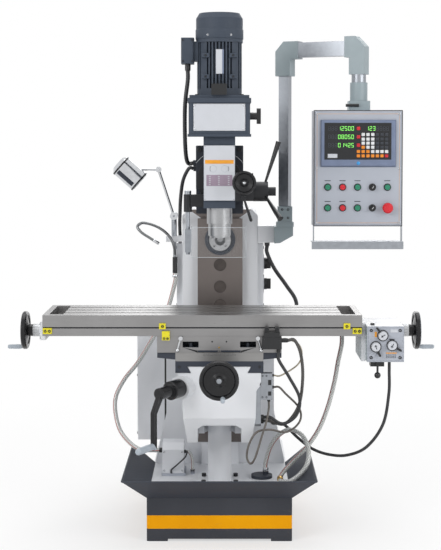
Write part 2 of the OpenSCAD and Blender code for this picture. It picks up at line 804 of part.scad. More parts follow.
// A dished handwheel with its shaft behind it and a grip at an angle round the rim
module handwheel(shaft_l, grip_angle) {
    color([0.1, 0.1, 0.11]) rotate_extrude() polygon([[0, -shaft_l], [wheel_shaft_r, -shaft_l],
        [wheel_shaft_r, -hub_l],
        [hub_r, -hub_l], [hub_r, -12], [wheel_r - 16, -4], [wheel_r - 12, -8], [wheel_r - 4, -9],
            [wheel_r, -4],
        [wheel_r, 6], [wheel_r - 4, 11], [wheel_r - 12, 10], [wheel_r - 17, 3], [hub_r + 4, -4],
            [hub_r - 6, 0],
        [hub_r - 8, 12], [0, 12]]);
    color([0.65, 0.68, 0.72]) rotate([0, 0, grip_angle]) translate([wheel_r - 9, 0, 10]) rotate_extrude()
        polygon([[0, 0], [5, 0], [5, 4], [grip_r - 2, 4], [grip_r, 16], [grip_r - 1, wheel_grip_l - 4],
            [grip_r - 4, wheel_grip_l], [0, wheel_grip_l]]);
}

module cross_handwheel() {
    shaft = knee_front - cross_wheel_y + cross_shaft_in - 5;
    translate([0, cross_wheel_y, cross_z]) rotate([90, 0, 0]) handwheel(shaft, -78);
}

module saddle() {
    top = knee_slide_w / 2 + slide_gap;
    color([0.55, 0.56, 0.57]) difference() {
        along_y(saddle_front, saddle_front + saddle_l)
            polygon([[-saddle_w / 2, saddle_bottom], [-top + knee_slide_slope, saddle_bottom],
            [-top, knee_top + slide_gap], [top, knee_top + slide_gap],
            [top - knee_slide_slope, saddle_bottom], [saddle_w / 2, saddle_bottom],
            [saddle_w / 2, saddle_top - wing_root], [swivel_l / 2, saddle_top - wing_end],
            [swivel_l / 2, saddle_top], [-swivel_l / 2, saddle_top],
            [-swivel_l / 2, saddle_top - wing_end], [-saddle_w / 2, saddle_top - wing_root]]);
        rod_z(0, table_y, saddle_top - swivel_deep - slide_gap, saddle_top + tiny, swivel_r + run_gap);
    }
}

// Section of the rail that carries the table, with a gap round it
module table_rail(gap) {
    foot = rail_w / 2 - rail_slope + gap;
    top = rail_w / 2 + gap;
    polygon([[table_y - foot, swivel_top - tiny], [table_y - top, swivel_top + rail_h + gap],
        [table_y + top, swivel_top + rail_h + gap], [table_y + foot, swivel_top - tiny]]);
}

module swivel_block() {
    half = swivel_l / 2;
    floor_z = swivel_bottom + 20;
    color([0.6, 0.6, 0.6]) difference() {
        union() {
            block([-half, swivel_front, swivel_bottom], [half, swivel_front + swivel_w, swivel_top]);
            along_x(-half, half) table_rail(0);
            rod_z(0, table_y, swivel_bottom - swivel_deep, swivel_bottom + tiny, swivel_r);
        }
        rod_x(table_y, screw_z, -half - tiny, half + tiny, table_screw_r + run_gap);
        for (side = [-1, 1]) {
            mid = side * (half + nut_l / 2) / 2;
            reach = (half - nut_l / 2) / 2 + tiny;
            block([mid - reach, table_y - channel_w / 2, screw_z - channel_w / 2],
                [mid + reach, table_y + channel_w / 2, swivel_top + 2 * rail_h]);
            block([side * window_x - window_w / 2, swivel_front - tiny, floor_z],
                [side * window_x + window_w / 2, swivel_front + 50, floor_z + window_h]);
            rod_y(side * clamp_x, clamp_z, swivel_front - tiny, swivel_front + 20, pin_r + run_gap);
        }
        block([-82, swivel_front - tiny, swivel_bottom - tiny],
            [82, swivel_front + 14, swivel_bottom + 8]);
    }
    color([0.15, 0.15, 0.16]) for (side = [-1, 1])
        rod_z(side * window_x, swivel_front + 18, floor_z, floor_z + window_h - 6, stud_r);
}

// Limit switch, with its glands, and the stop beside it on the front of the swivel block
module limit_switch() {
    z0 = swivel_top - switch_drop;
    x1 = switch_x + switch_w;
    color([0.13, 0.13, 0.14]) {
        block([switch_x, swivel_front - 44, z0], [x1, swivel_front, swivel_top]);
        block([switch_x + 6, swivel_front - 42, swivel_top],
            [x1 - 7, swivel_front - 14, swivel_top + 20]);
        for (x = [switch_x + 10, x1 - 24])
            block([x, swivel_front - 38, swivel_top + 20], [x + 14, swivel_front - 16, swivel_top + 38]);
        gland_x(switch_route_b[0], x1, 8);
        gland_z(switch_route_a[0], z0, 8);
    }
    color([0.9, 0.85, 0.15]) block([stop_x, swivel_front - stop_t - 6, swivel_top - 14],
        [stop_x + stop_w, swivel_front, swivel_top]);
    color([0.9, 0.85, 0.15]) block([stop_x, swivel_front - stop_t - 6, swivel_top],
        [stop_x + stop_w, swivel_front - 6, swivel_top + 20]);
}

// A thin ball-ended lever on the front of the swivel block
module clamp_lever(side) {
    translate([side * clamp_x, swivel_front - 3, clamp_z]) color("silver") {
        rotate([-90, 0, 0]) cylinder(h = 18, r = pin_r);
        rotate([90, 0, 0]) cylinder(h = 14, r = 8);
        translate([0, -8, 0]) rotate([0, 180 - side * clamp_lean, 0]) {
            cylinder(h = clamp_l, r = 4);
            translate([0, 0, clamp_l]) sphere(7);
        }
    }
}

module clamp_lever_left() {
    clamp_lever(-1);
}

module clamp_lever_right() {
    clamp_lever(1);
}

module table() {
    back = table_y + table_w / 2;
    color([0.66, 0.66, 0.66]) difference() {
        block([table_x0, table_front, table_bottom], [table_x1, back, table_top]);
        along_x(table_x0 - tiny, table_x1 + tiny) table_rail(slide_gap);
        rod_x(table_y, screw_z, table_x0 - tiny, table_x1 + tiny, table_screw_r + 2);
        block([table_x0 - tiny, table_front - tiny, groove_z],
            [table_x1 + tiny, table_front + groove_deep, groove_z + groove_h]);
        for (i = [-1 : 1]) {
            y = table_y + i * slot_pitch;
            block([table_x0 + pocket_in, y - slot_w / 2, table_top - slot_neck],
                [table_x1 - pocket_in, y + slot_w / 2, table_top + tiny]);
            block([table_x0 + pocket_in, y - slot_head_w / 2, table_top - slot_neck - slot_head_h],
                [table_x1 - pocket_in, y + slot_head_w / 2, table_top - slot_neck]);
        }
        for (x = [table_x0 + pocket_in, table_x1 - pocket_in - pocket_l])
            block([x, table_y - pocket_w / 2, table_top - pocket_deep],
                [x + pocket_l, table_y + pocket_w / 2, table_top + tiny]);
    }
    color([0.15, 0.15, 0.16]) gland_z(drain_route[0], table_bottom, 11);
}

module table_screw() {
    color("silver") rod_x(table_y, screw_z, table_x0 - bracket_l + 6, gear_x0 + 60, table_screw_r);
}

// Stops that clamp in the groove along the front of the table
module table_stops() {
    z = groove_z;
    color([0.9, 0.85, 0.15]) {
        for (x = [table_x0 + 2, table_x1 - 36])
            block([x, table_front - stop_t, z - 20], [x + 34, table_front, z + 2]);
        for (x = [table_shift - 162, table_x1 - 70])
            block([x, table_front - stop_t, z - 2], [x + 25, table_front, z + 20]);
    }
}

// White castings on the ends of the table: the screw's left bracket and the feed gearbox
module end_housings() {
    color("whitesmoke") difference() {
        union() {
            block([table_x0 - bracket_l + 10, table_y - 66, swivel_top - 28],
                [table_x0, table_y + 66, swivel_top + 42]);
            rod_x(table_y, screw_z, table_x0 - bracket_l, table_x0 - 10, 28);
        }
        rod_x(table_y, screw_z, table_x0 - bracket_l + 6, table_x0 + tiny, table_screw_r + run_gap);
        rod_x(table_y, screw_z, table_x0 - bracket_l - tiny, table_x0, wheel_shaft_r + run_gap);
    }
    color([0.6, 0.66, 0.68]) difference() {
        block([table_x1, gear_front + 55, gear_bottom - 6], [gear_x0, gear_back + 40, gear_top + 4]);
        rod_x(table_y, screw_z, table_x1 - tiny, gear_x0 + tiny, table_screw_r + run_gap);
    }
    color("whitesmoke") difference() {
        union() {
            block([gear_x0, gear_front, gear_bottom], [gear_x1, gear_back, gear_top]);
            block([gear_x0 + 5, gear_front - 2, gear_bottom + 5],
                [gear_x1 - 5, gear_front, gear_top - 5]);
            rod_x(table_y, screw_z, gear_x1, gear_x1 + 12, 28);
        }
        rod_x(table_y, screw_z, gear_x0 - tiny, gear_x0 + 60, table_screw_r + run_gap);
        rod_x(table_y, screw_z, gear_x1 - 70, gear_x1 + 12 + tiny, wheel_shaft_r + run_gap);
        for (d = dials) rod_y(gear_x0 + d[0], gear_bottom + d[1], gear_front - 2 - tiny,
            gear_front + 24, dial_shaft_r + run_gap);
    }
    color([0.2, 0.2, 0.21]) difference() {
        union() {
            block([ball_x - 26, ball_y - 20, gear_bottom - 22], [ball_x + 26, ball_y + 24, gear_bottom]);
            rod_z(gear_x0 + 24, gear_front + 40, gear_top, gear_top + 7, 8);
            gland_z(feed_route[0], gear_bottom, 8);
        }
        rod_y(ball_x, ball_z, ball_y - 20 - tiny, ball_y + 10, pin_r + run_gap);
    }
}

// Drain hose and feed cable of the table
module table_lines() {
    color([0.7, 0.7, 0.68]) sweep(drain_route, 9);
    color([0.2, 0.2, 0.2]) sweep(feed_route, 6);
}

module handwheel_left() {
    translate([table_x0 - bracket_l - 55, table_y, screw_z]) rotate([0, -90, 0]) handwheel(55 + 5, 180);
    color([0.13, 0.13, 0.14]) difference() {
        rod_x(table_y, screw_z, table_x0 - bracket_l - 26, table_x0 - bracket_l - slide_gap, 24);
        rod_x(table_y, screw_z, table_x0 - bracket_l - 27, table_x0, wheel_shaft_r - tiny);
    }
}

module handwheel_right() {
    translate([gear_x1 + 12 + 58, table_y, screw_z]) rotate([0, 90, 0]) handwheel(58 + 60, 0);
    color([0.13, 0.13, 0.14]) difference() {
        rod_x(table_y, screw_z, gear_x1 + 12 + slide_gap, gear_x1 + 12 + 28, 24);
        rod_x(table_y, screw_z, gear_x1, gear_x1 + 12 + 29, wheel_shaft_r - tiny);
    }
}

// A pointer lever over a dial of the feed gearbox
module feed_lever(i) {
    d = dials[i];
    translate([gear_x0 + d[0], gear_front - 2, gear_bottom + d[1]]) rotate([90, 0, 0])
        rotate([0, 0, d[2]]) {
        color("gainsboro") {
            translate([0, 0, -20]) cylinder(h = 20 + slide_gap, r = dial_shaft_r);
            translate([0, 0, slide_gap]) cylinder(h = 4, r = dial_r);
        }
        color([0.1, 0.1, 0.11]) translate([0, 0, 4 + slide_gap]) linear_extrude(8) {
            translate([0, -4]) square([36, 8]);
            circle(9);
            translate([36, 0]) circle(4);
        }
    }
}

module feed_lever_speed() {
    feed_lever(0);
}

module feed_lever_mode() {
    feed_lever(1);
}

module feed_lever_range() {
    feed_lever(2);
}

module feed_ball_lever() {
    front = ball_y - 20 - slide_gap;
    color([0.25, 0.25, 0.26]) {
        rod_y(ball_x, ball_z, front, ball_y + 8, pin_r);
        rod_y(ball_x, ball_z, front - 12, front, 8);
        rod_z(ball_x, front - 6, ball_z - 36, ball_z, 4);
        translate([ball_x, front - 6, ball_z - 42]) sphere(12);
    }
}

module ram() {
    color([0.2, 0.21, 0.23]) difference() {
        union() {
            along_y(ram_front, ram_back) polygon([[-ram_w / 2, column_top + slide_gap],
                [ram_w / 2, column_top + slide_gap], [ram_w / 2, ram_top - 24], [ram_w / 2 - 24, ram_top],
                [-ram_w / 2 + 24, ram_top], [-ram_w / 2, ram_top - 24]]);
            translate([0, ram_front, (plate_bottom + plate_top) / 2]) rotate([90, 0, 0])
                post_box(ram_w, plate_top - plate_bottom, ram_front - face_y, 4);
            gland_x(last(motor_route), -ram_w / 2, 12);
            gland_x(column_route[0], -ram_w / 2, 11);
        }
        along_y(ram_front + ram_closed, ram_back + tiny) ram_rail(slide_gap);
        rod_y(0, pivot_z, face_y - tiny, face_y + spigot_l + 4, spigot_r + run_gap);
    }
}

module head_casting() {
    rear = face_y - slide_gap;
    color([0.29, 0.33, 0.38]) difference() {
        union() {
            rod_y(0, pivot_z, rear - flange_t, rear, flange_r);
            rod_y(0, pivot_z, rear, rear + spigot_l, spigot_r);
            block([-head_w / 2, head_front + 9, head_bottom], [head_w / 2, rear - 4, head_top]);
            block([-head_w / 2, head_front, head_bottom + 30],
                [head_w / 2, head_front + 9, pivot_z + 133]);
            rod_z(0, quill_y, guide_bottom, head_bottom, guide_r);
            block([head_w / 2, head_front - 1, gear_side_z0], [gear_side_x, quill_y + 16, gear_side_z1]);
            block([guard_x + 11, guard_y - 18, pivot_z - 99], [-head_w / 2, guard_y + 18, guard_boss_z1]);
            rod_z(guard_x, guard_y, guard_boss_z0, guard_boss_z1, 16);
        }
        rod_z(0, quill_y, guide_bottom - tiny, quill_top + 4, quill_r + run_gap);
        rod_z(0, quill_y, quill_top, head_top + tiny, spline_r + 6);
        rod_x(pinion_y, pinion_z, gear_side_x - 42, gear_side_x + tiny, pinion_r + run_gap);
        rod_y(fine_x, fine_z, head_front - 2, head_front + 44, fine_shaft_r + run_gap);
        rod_y(lock_x, lock_z, head_front - 2, head_front + 24, pin_r + run_gap);
        rod_z(guard_x, guard_y, guard_boss_z0 - tiny, guard_boss_z1 + tiny, guard_rod_r + run_gap);
    }
}

module belt_housing() {
    mid = (belt_front + belt_back) / 2;
    depth = belt_back - belt_front;
    color([0.29, 0.33, 0.38]) difference() {
        union() {
            translate([0, mid, head_top]) post_box(housing_w, depth, 10, 12);
            translate([0, mid, head_top + 10]) post_box(housing_w - 8, depth - 8,
                belt_top - head_top - 28, 10);
            translate([0, mid, belt_top - 18]) post_box(housing_w, depth, 18, 12);
            translate([0, mid, belt_top]) post_box(housing_w - 14, depth - 14, motor_z - belt_top, 10);
        }
        rod_z(0, quill_y, head_top - tiny, spline_top + 15, spline_r + 2);
        rod_x(belt_lever_y, belt_lever_z, housing_w / 2 - 30, housing_w / 2 + tiny,
            fine_shaft_r + run_gap);
    }
    color("gainsboro") block([-97, belt_front + 1, head_top + 22], [97, belt_front + 4, head_top + 124]);
    color([0.15, 0.15, 0.16]) block([-30, quill_y - motor_r - 30, motor_z],
        [28, quill_y - motor_r - 6, motor_z + 42]);
}

module motor_body() {
    fins = 40;
    color([0.29, 0.33, 0.38]) translate([0, quill_y, 0]) {
        difference() {
            rod_z(0, 0, motor_z, motor_top - 14, motor_r);
            for (i = [0 : fins - 1]) if (i % 10 > 1) rotate([0, 0, (i + 4.5) * 360 / fins])
                block([motor_r - 12, -3.6, motor_z + 26], [motor_r + tiny, 3.6, motor_top - 13]);
        }
        rod_z(0, 0, motor_top - 14, motor_top, fan_r);
        for (z = [motor_z + 62, motor_z + 142], x = [-52, 52])
            block([x - 14, -motor_r + 2, z], [x + 14, -motor_r + 40, z + 16]);
        block([-box_x, -34, motor_top - 84], [-motor_r + 6, 34, motor_top - 10]);
        translate([-box_x - 24.5, 0, motor_top - 94]) post_box(49, 90, 98, 8);
        rod_z(-box_x - 24.5, 0, motor_top - 119, motor_top - 94, 11);
    }
}

module fan_cover() {
    slots = 24;
    color([0.29, 0.33, 0.38]) translate([0, quill_y, motor_top]) difference() {
        rotate_extrude() polygon([[fan_r - fan_wall, 0], [fan_r, 0], [fan_r, fan_h - 20],
            [fan_r - 12, fan_h], [0, fan_h], [0, fan_h - fan_wall], [fan_r - 13, fan_h - fan_wall],
            [fan_r - fan_wall, fan_h - 21]]);
        for (i = [0 : slots - 1]) rotate([0, 0, i * 360 / slots])
            block([26, -2, fan_h - fan_wall - tiny], [fan_r - 20, 2, fan_h + tiny]);
    }
}

// Cable from the motor to the ram, and on from the ram to the column
module motor_cable() {
    color([0.2, 0.2, 0.2]) {
        sweep(motor_route, 8);
        sweep(column_route, 7);
    }
}

module quill() {
    color("silver") difference() {
        rod_z(0, quill_y, quill_bottom, quill_top, quill_r);
        rod_z(0, quill_y, quill_bottom - tiny, quill_top + tiny, spindle_r + run_gap);
    }
}

module vertical_spindle() {
    low = quill_bottom - 6;
    color("silver") difference() {
        union() {
            rod_z(0, quill_y, low, quill_bottom - slide_gap, spindle_r + 8);
            rod_z(0, quill_y, quill_bottom - slide_gap, quill_top, spindle_r);
            rod_z(0, quill_y, quill_top, spline_top, spline_r);
        }
        translate([0, quill_y, low - tiny]) cylinder(h = taper_l + tiny, r1 = taper_r, r2 = taper_end_r);
    }
}

module quill_levers() {
    x0 = gear_side_x + slide_gap;
    color([0.12, 0.12, 0.13]) {
        rod_x(pinion_y, pinion_z, x0 - 38, x0, pinion_r);
        rod_x(pinion_y, pinion_z, x0, x0 + drum_l, drum_r);
        rod_x(pinion_y, pinion_z, x0 + drum_l, x0 + drum_l + 30, 17);
        for (a = [90, 210, 330]) translate([x0 + 36, pinion_y, pinion_z]) rotate([a - 90, 0, 0])
            rotate([0, 18, 0]) translate([0, 0, 24]) cylinder(h = lever_l - 24, r1 = 4, r2 = 10);
    }
}

module fine_feed_wheel() {
    color([0.1, 0.1, 0.11]) translate([fine_x, head_front - 65, fine_z]) rotate([90, 0, 0])
        rotate_extrude()
        polygon([[0, -100], [fine_shaft_r, -100], [fine_shaft_r, -20], [16, -20], [16, -10],
            [fine_r - 9, -6],
            [fine_r - 2, -8], [fine_r, -4], [fine_r, 6], [fine_r - 2, 10], [fine_r - 8, 9],
                [fine_r - 12, 2], [14, -4],
            [10, 6], [0, 6]]);
}

module quill_lock() {
    front = head_front - 1 - slide_gap;
    color([0.12, 0.12, 0.13]) {
        rod_y(lock_x, lock_z, front, head_front + 20, pin_r);
        rod_y(lock_x, lock_z, front - 12, front, 9);
        translate([lock_x, front - 7, lock_z]) rotate([0, 162, 0]) {
            cylinder(h = 88, r1 = 4, r2 = 6);
            translate([0, 0, 88]) sphere(6);
        }
    }
}

module belt_lever() {
    x0 = housing_w / 2 - 4 + slide_gap;
    color([0.12, 0.12, 0.13]) {
        rod_x(belt_lever_y, belt_lever_z, x0 - 24, x0, fine_shaft_r);
        rod_x(belt_lever_y, belt_lever_z, x0, x0 + 26, 14);
        translate([x0 + 26, belt_lever_y, belt_lever_z]) rotate([90, 0, 90]) linear_extrude(16)
            round_rect(22, 60, 8);
    }
}

// Clear shield that swings on its rod beside the quill
module chip_guard() {
    color("silver") {
        rod_z(guard_x, guard_y, shield_z0 + 8, guard_boss_z1 + slide_gap, guard_rod_r);
        rod_z(guard_x, guard_y, guard_boss_z1 + slide_gap, guard_boss_z1 + 14, 13);
        block([guard_x - 11, guard_y - 11, shield_z0 + 16], [shield_x0, guard_y + 11, shield_z1 - 10]);
    }
    color([0.85, 0.9, 0.95]) {
        block([shield_x0, shield_front, shield_z0], [shield_x1, shield_front + shield_t, shield_z1]);
        for (x = [shield_x0, shield_x1 - shield_t])
            block([x, shield_front + shield_t, shield_z0], [x + shield_t, shield_back, shield_z1]);
    }
}

// A round bar between two points in the plane of the lamp arm
module lamp_bar(a, b, y, r) {
    d = b - a;
    translate([a[0], y, a[1]]) rotate([0, atan2(d[0], d[1]), 0]) cylinder(h = norm(d), r = r);
}

module lamp_arm() {
    y1 = lamp_y - slide_gap;
    y0 = y1 - knuckle_t;
    a = [lamp_base[0], lamp_base[2]];
    b = [lamp_elbow[0], lamp_elbow[2]];
    color("silver") difference() {
        union() {
            rod_y(a[0], a[1], y0, y1, base_knuckle_r);
            rod_y(b[0], b[1], y0, y1, knuckle_r);
            lamp_bar(a, b, (y0 + y1) / 2, 5.5);
        }
        rod_y(a[0], a[1], y0 - tiny, y1 + tiny, pin_r + run_gap);
        rod_y(b[0], b[1], y0 - tiny, y1 + tiny, pin_r + run_gap);
    }
}

module lamp_head() {
    b = [lamp_elbow[0], lamp_elbow[2]];
    color("silver") {
        rod_y(b[0], b[1], lamp_y, lamp_y + knuckle_t, knuckle_r);
        rod_y(b[0], b[1], lamp_y - knuckle_t - 2, lamp_y, pin_r);
        lamp_bar(b, [drum_lamp_at[0] + 30, b[1] + 2], lamp_y + knuckle_t / 2, 5.5);
        translate([drum_lamp_at[0], lamp_y + knuckle_t / 2, drum_lamp_at[1]]) rotate([0, 131.6, 0])
            rotate_extrude()
            polygon([[0, -drum_lamp_l / 2], [30, -drum_lamp_l / 2],
                [drum_lamp_r - 4, -drum_lamp_l / 2 + 10], [drum_lamp_r, -drum_lamp_l / 2 + 14],
                [drum_lamp_r, drum_lamp_l / 2], [drum_lamp_r - 4, drum_lamp_l / 2],
                [drum_lamp_r - 4, drum_lamp_l / 2 - 8], [0, drum_lamp_l / 2 - 8]]);
    }
}

// Post, elbows and tube that carry the panel, turning in the bracket
module panel_arm() {
    translate([post[0], post[1], 0]) rotate([0, 0, -arm_angle]) {
        color("silver") {
            rod_z(0, 0, socket_z0 + 44, post_z0, post_spigot_r);
            block([-post_w / 2, -post_d / 2, post_z0], [post_w / 2, post_d / 2, post_z1]);
            block([elbow_w / 2 + 34, -elbow_d / 2 + 4, arm_z0],
                [arm_l - elbow_w / 2 - 20, elbow_d / 2 - 4, arm_z1]);
            rod_z(arm_l, 0, stem_z, post_z1, stem_r);
            rod_z(arm_l, 0, stem_z - socket_h + 6, stem_z, stem_spigot_r);
        }
        color([0.6, 0.66, 0.68]) {
            along_y(-elbow_d / 2, elbow_d / 2) polygon([[-elbow_w / 2, post_z1], [elbow_w / 2, post_z1],
                [elbow_w / 2, arm_z0 - 6], [elbow_w / 2 + 34, arm_z0 - 6], [elbow_w / 2 + 34, arm_z1 + 6],
                [elbow_w / 2 - 30, arm_z1 + 6], [-elbow_w / 2, arm_z1 - 34]]);
            along_y(-elbow_d / 2, elbow_d / 2) polygon([[arm_l - elbow_w / 2, post_z1],
                [arm_l + elbow_w / 2, post_z1],
                [arm_l + elbow_w / 2, arm_z1 - 24], [arm_l + elbow_w / 2 - 40, arm_z1 + 18],
                [arm_l - elbow_w / 2 - 20, arm_z1 + 18], [arm_l - elbow_w / 2 - 20, arm_z0 - 6],
                    [arm_l - elbow_w / 2, arm_z0 - 6]]);
        }
    }
}

function button_at(row, i) = [button_x + i * button_pitch, panel_y0, button_rows[row]];

module control_panel() {
    x1 = panel_x0 + panel_w;
    color([0.75, 0.77, 0.8]) {
        difference() {
            union() {
                block([panel_x0, panel_y0, panel_z0], [x1, panel_y0 + panel_d, panel_top]);
                for (row = [0, 1], i = [0 : 4]) rod_y(button_at(row, i)[0], button_at(row, i)[2],
                    panel_y0 - bezel_t, panel_y0, bezel_r);
            }
            for (row = [0, 1], i = [0 : 4]) rod_y(button_at(row, i)[0], button_at(row, i)[2],
                panel_y0 - bezel_t - tiny,
                panel_y0 + button_deep, button_r + slide_gap);
        }
        for (x = [panel_x0, x1 - shelf_t])
            block([x, panel_y0, shelf_z], [x + shelf_t, panel_y0 + 34, panel_z0]);
        block([panel_x0 - 9, panel_y0 - 40, shelf_z - shelf_t], [x1, panel_y0 + 34, shelf_z]);
        block([panel_x0 - 9, panel_y0 - 40, shelf_z - 30],
            [x1, panel_y0 - 40 + shelf_t, shelf_z - shelf_t]);
    }
    color([0.43, 0.48, 0.59]) block([panel_x0 + 27, panel_y0 - readout_t, readout_z0],
        [panel_x0 + 27 + readout_w, panel_y0, readout_z0 + readout_h]);
    color([0.6, 0.66, 0.68]) difference() {
        union() {
            translate([stem[0], stem[1], panel_top]) post_box(85, 85, 39, 8);
            rod_z(stem[0], stem[1], panel_top + 39, stem_z - slide_gap, 35);
        }
        rod_z(stem[0], stem[1], stem_z - socket_h + 2, stem_z + tiny, stem_spigot_r + run_gap);
    }
    color([0.12, 0.12, 0.13]) rod_x(stem[1] - 46, panel_top + 21, stem[0] - 56, stem[0] - 4, 6);
}

// A push button in its bezel
module push_button(row, i) {
    p = button_at(row, i);
    rod_y(p[0], p[2], p[1] - bezel_t - button_out, p[1] + 5, button_r);
}

// A selector with a grip across its face
module selector(row) {
    p = button_at(row, 3);
    y = p[1] - bezel_t - slide_gap;
    color([0.1, 0.1, 0.11]) {
        rod_y(p[0], p[2], y, p[1] + 16, button_r);
        rod_y(p[0], p[2], y - 6, y, 13);
        translate([p[0], y - 6, p[2]]) rotate([90, 35, 0]) linear_extrude(12) round_rect(8, 26, 3);
    }
}

module button_coolant_on() {
    color([0.18, 0.5, 0.4]) push_button(0, 0);
}

module button_coolant_off() {
    color([0.8, 0.14, 0.19]) push_button(0, 1);
}

module button_jog() {
    color([0.18, 0.5, 0.4]) push_button(0, 2);
}

module button_start() {
    color([0.18, 0.5, 0.4]) push_button(0, 4);
}

module button_spindle_on() {
    color([0.18, 0.5, 0.4]) push_button(1, 0);
}

module button_spindle_off() {
    color([0.8, 0.14, 0.19]) push_button(1, 1);
}

module button_feed() {
    color([0.18, 0.5, 0.4]) push_button(1, 2);
}

module emergency_stop() {
    p = button_at(1, 4);
    y = p[1] - bezel_t;
    color([0.8, 0.1, 0.15]) {
        rod_y(p[0], p[2], y - 12, p[1] + 10, button_r);
        translate([p[0], y - 10, p[2]]) rotate([90, 0, 0]) rotate_extrude()
            polygon([[0, 0], [17, 0], [21, 4], [21, 10], [17, 15], [0, 17]]);
    }
}

module selector_upper() {
    selector(0);
}

module selector_lower() {
    selector(1);
}

base_plinth();
chip_tray();
column();
column_fittings();
cabinet();
screw_housing();
coolant_pump();
panel_bracket();
base_lines();
horizontal_spindle();
speed_knob_upper();
speed_knob_lower();
knee();
knee_screw();
switch_cables();
knee_crank();
cross_handwheel();
saddle();
swivel_block();
limit_switch();
clamp_lever_left();
clamp_lever_right();
table();
table_screw();
table_stops();
end_housings();
table_lines();
handwheel_left();
handwheel_right();
feed_lever_speed();
feed_lever_mode();
feed_lever_range();
feed_ball_lever();
ram();
head_casting();
belt_housing();
motor_body();
fan_cover();
motor_cable();
quill();
vertical_spindle();
quill_levers();
fine_feed_wheel();
quill_lock();
belt_lever();
chip_guard();
lamp_arm();
lamp_head();
panel_arm();
control_panel();
button_coolant_on();
button_coolant_off();
button_jog();
button_start();
button_spindle_on();
button_spindle_off();
button_feed();
emergency_stop();
selector_upper();
selector_lower();
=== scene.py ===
# %% [markdown]
# # Dressing a universal knee mill
# The solids of the mill come from its CAD pack and stay where they are. This lesson gives them
# their paint, steel and plastic, adds hoses, screws, scales and a readout, and lights the whole.

import itertools
import math

import bpy
from mathutils import Matrix, Vector


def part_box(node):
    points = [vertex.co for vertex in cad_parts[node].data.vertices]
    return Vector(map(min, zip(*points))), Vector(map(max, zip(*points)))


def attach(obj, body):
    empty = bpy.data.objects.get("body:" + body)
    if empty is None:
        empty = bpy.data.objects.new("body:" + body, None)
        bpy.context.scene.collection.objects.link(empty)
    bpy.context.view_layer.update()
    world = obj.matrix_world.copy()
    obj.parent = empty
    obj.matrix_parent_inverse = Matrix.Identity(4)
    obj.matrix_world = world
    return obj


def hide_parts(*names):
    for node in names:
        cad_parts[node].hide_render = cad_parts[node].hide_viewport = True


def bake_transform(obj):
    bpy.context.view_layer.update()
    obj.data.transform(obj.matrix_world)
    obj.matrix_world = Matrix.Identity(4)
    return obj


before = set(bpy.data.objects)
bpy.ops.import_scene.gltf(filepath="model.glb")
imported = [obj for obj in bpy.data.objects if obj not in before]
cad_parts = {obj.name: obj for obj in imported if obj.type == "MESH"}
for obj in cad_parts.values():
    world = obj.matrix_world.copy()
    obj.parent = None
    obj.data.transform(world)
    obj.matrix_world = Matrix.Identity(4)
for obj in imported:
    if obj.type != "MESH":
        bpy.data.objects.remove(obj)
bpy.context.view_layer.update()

# %% [markdown]
# The camera stands about five metres in front of the machine, at the height of its head. A level
# camera would need a large lens shift. A small pitch with half of that shift gives nearly the same
# picture, and leaves the machine in the frame from every other side.

# %% Camera
MM = 0.001
TILT_DOWN = 2.709
camera_data = bpy.data.cameras.new("studio_camera")
camera_data.lens = 85.352
camera_data.sensor_width = 36
camera_data.shift_x = -0.0125
camera_data.shift_y = -0.135
camera = bpy.data.objects.new("studio_camera", camera_data)
camera.location = (0.0302, -5.3616, 1.5242)
camera.rotation_euler = (math.radians(90 - TILT_DOWN), 0, 0)
bpy.context.scene.collection.objects.link(camera)
bpy.context.scene.camera = camera
bpy.context.scene.view_settings.view_transform = "Standard"
print("camera lens", camera_data.lens)

# %% [markdown]
# A shader is a net of small nodes. Two helpers keep it readable. A Wire stands for a socket, so
# that sums of wires add Math nodes. A Finish is one material, and its node method adds any node.


# %% Wires and finishes
class Wire:
    """The output of a node, used in plain arithmetic."""

    def __init__(self, finish, socket):
        self.finish = finish
        self.socket = socket

    def sum(self, operation, first, second):
        return self.finish.node("Math", {0: first, 1: second}, operation=operation)

    def __abs__(self):
        return self.sum("ABSOLUTE", self, 0)


def teach(sign, operation):
    """Gives wires an operator, with a wire or a plain number on its other side."""
    setattr(Wire, f"__{sign}__", lambda wire, other: wire.sum(operation, wire, other))
    setattr(Wire, f"__r{sign}__", lambda wire, other: wire.sum(operation, other, wire))


teach("add", "ADD")
teach("sub", "SUBTRACT")
teach("mul", "MULTIPLY")
teach("truediv", "DIVIDE")
teach("mod", "FLOORED_MODULO")
teach("gt", "GREATER_THAN")
teach("lt", "LESS_THAN")


def srgb(red, green, blue):
    """A colour as a screen shows it, 0 to 255, turned to the linear values that shaders use."""
    parts = [part / 255 for part in (red, green, blue)]
    return [p / 12.92 if p <= 0.04045 else ((p + 0.055) / 1.055) ** 2.4 for p in parts] + [1]


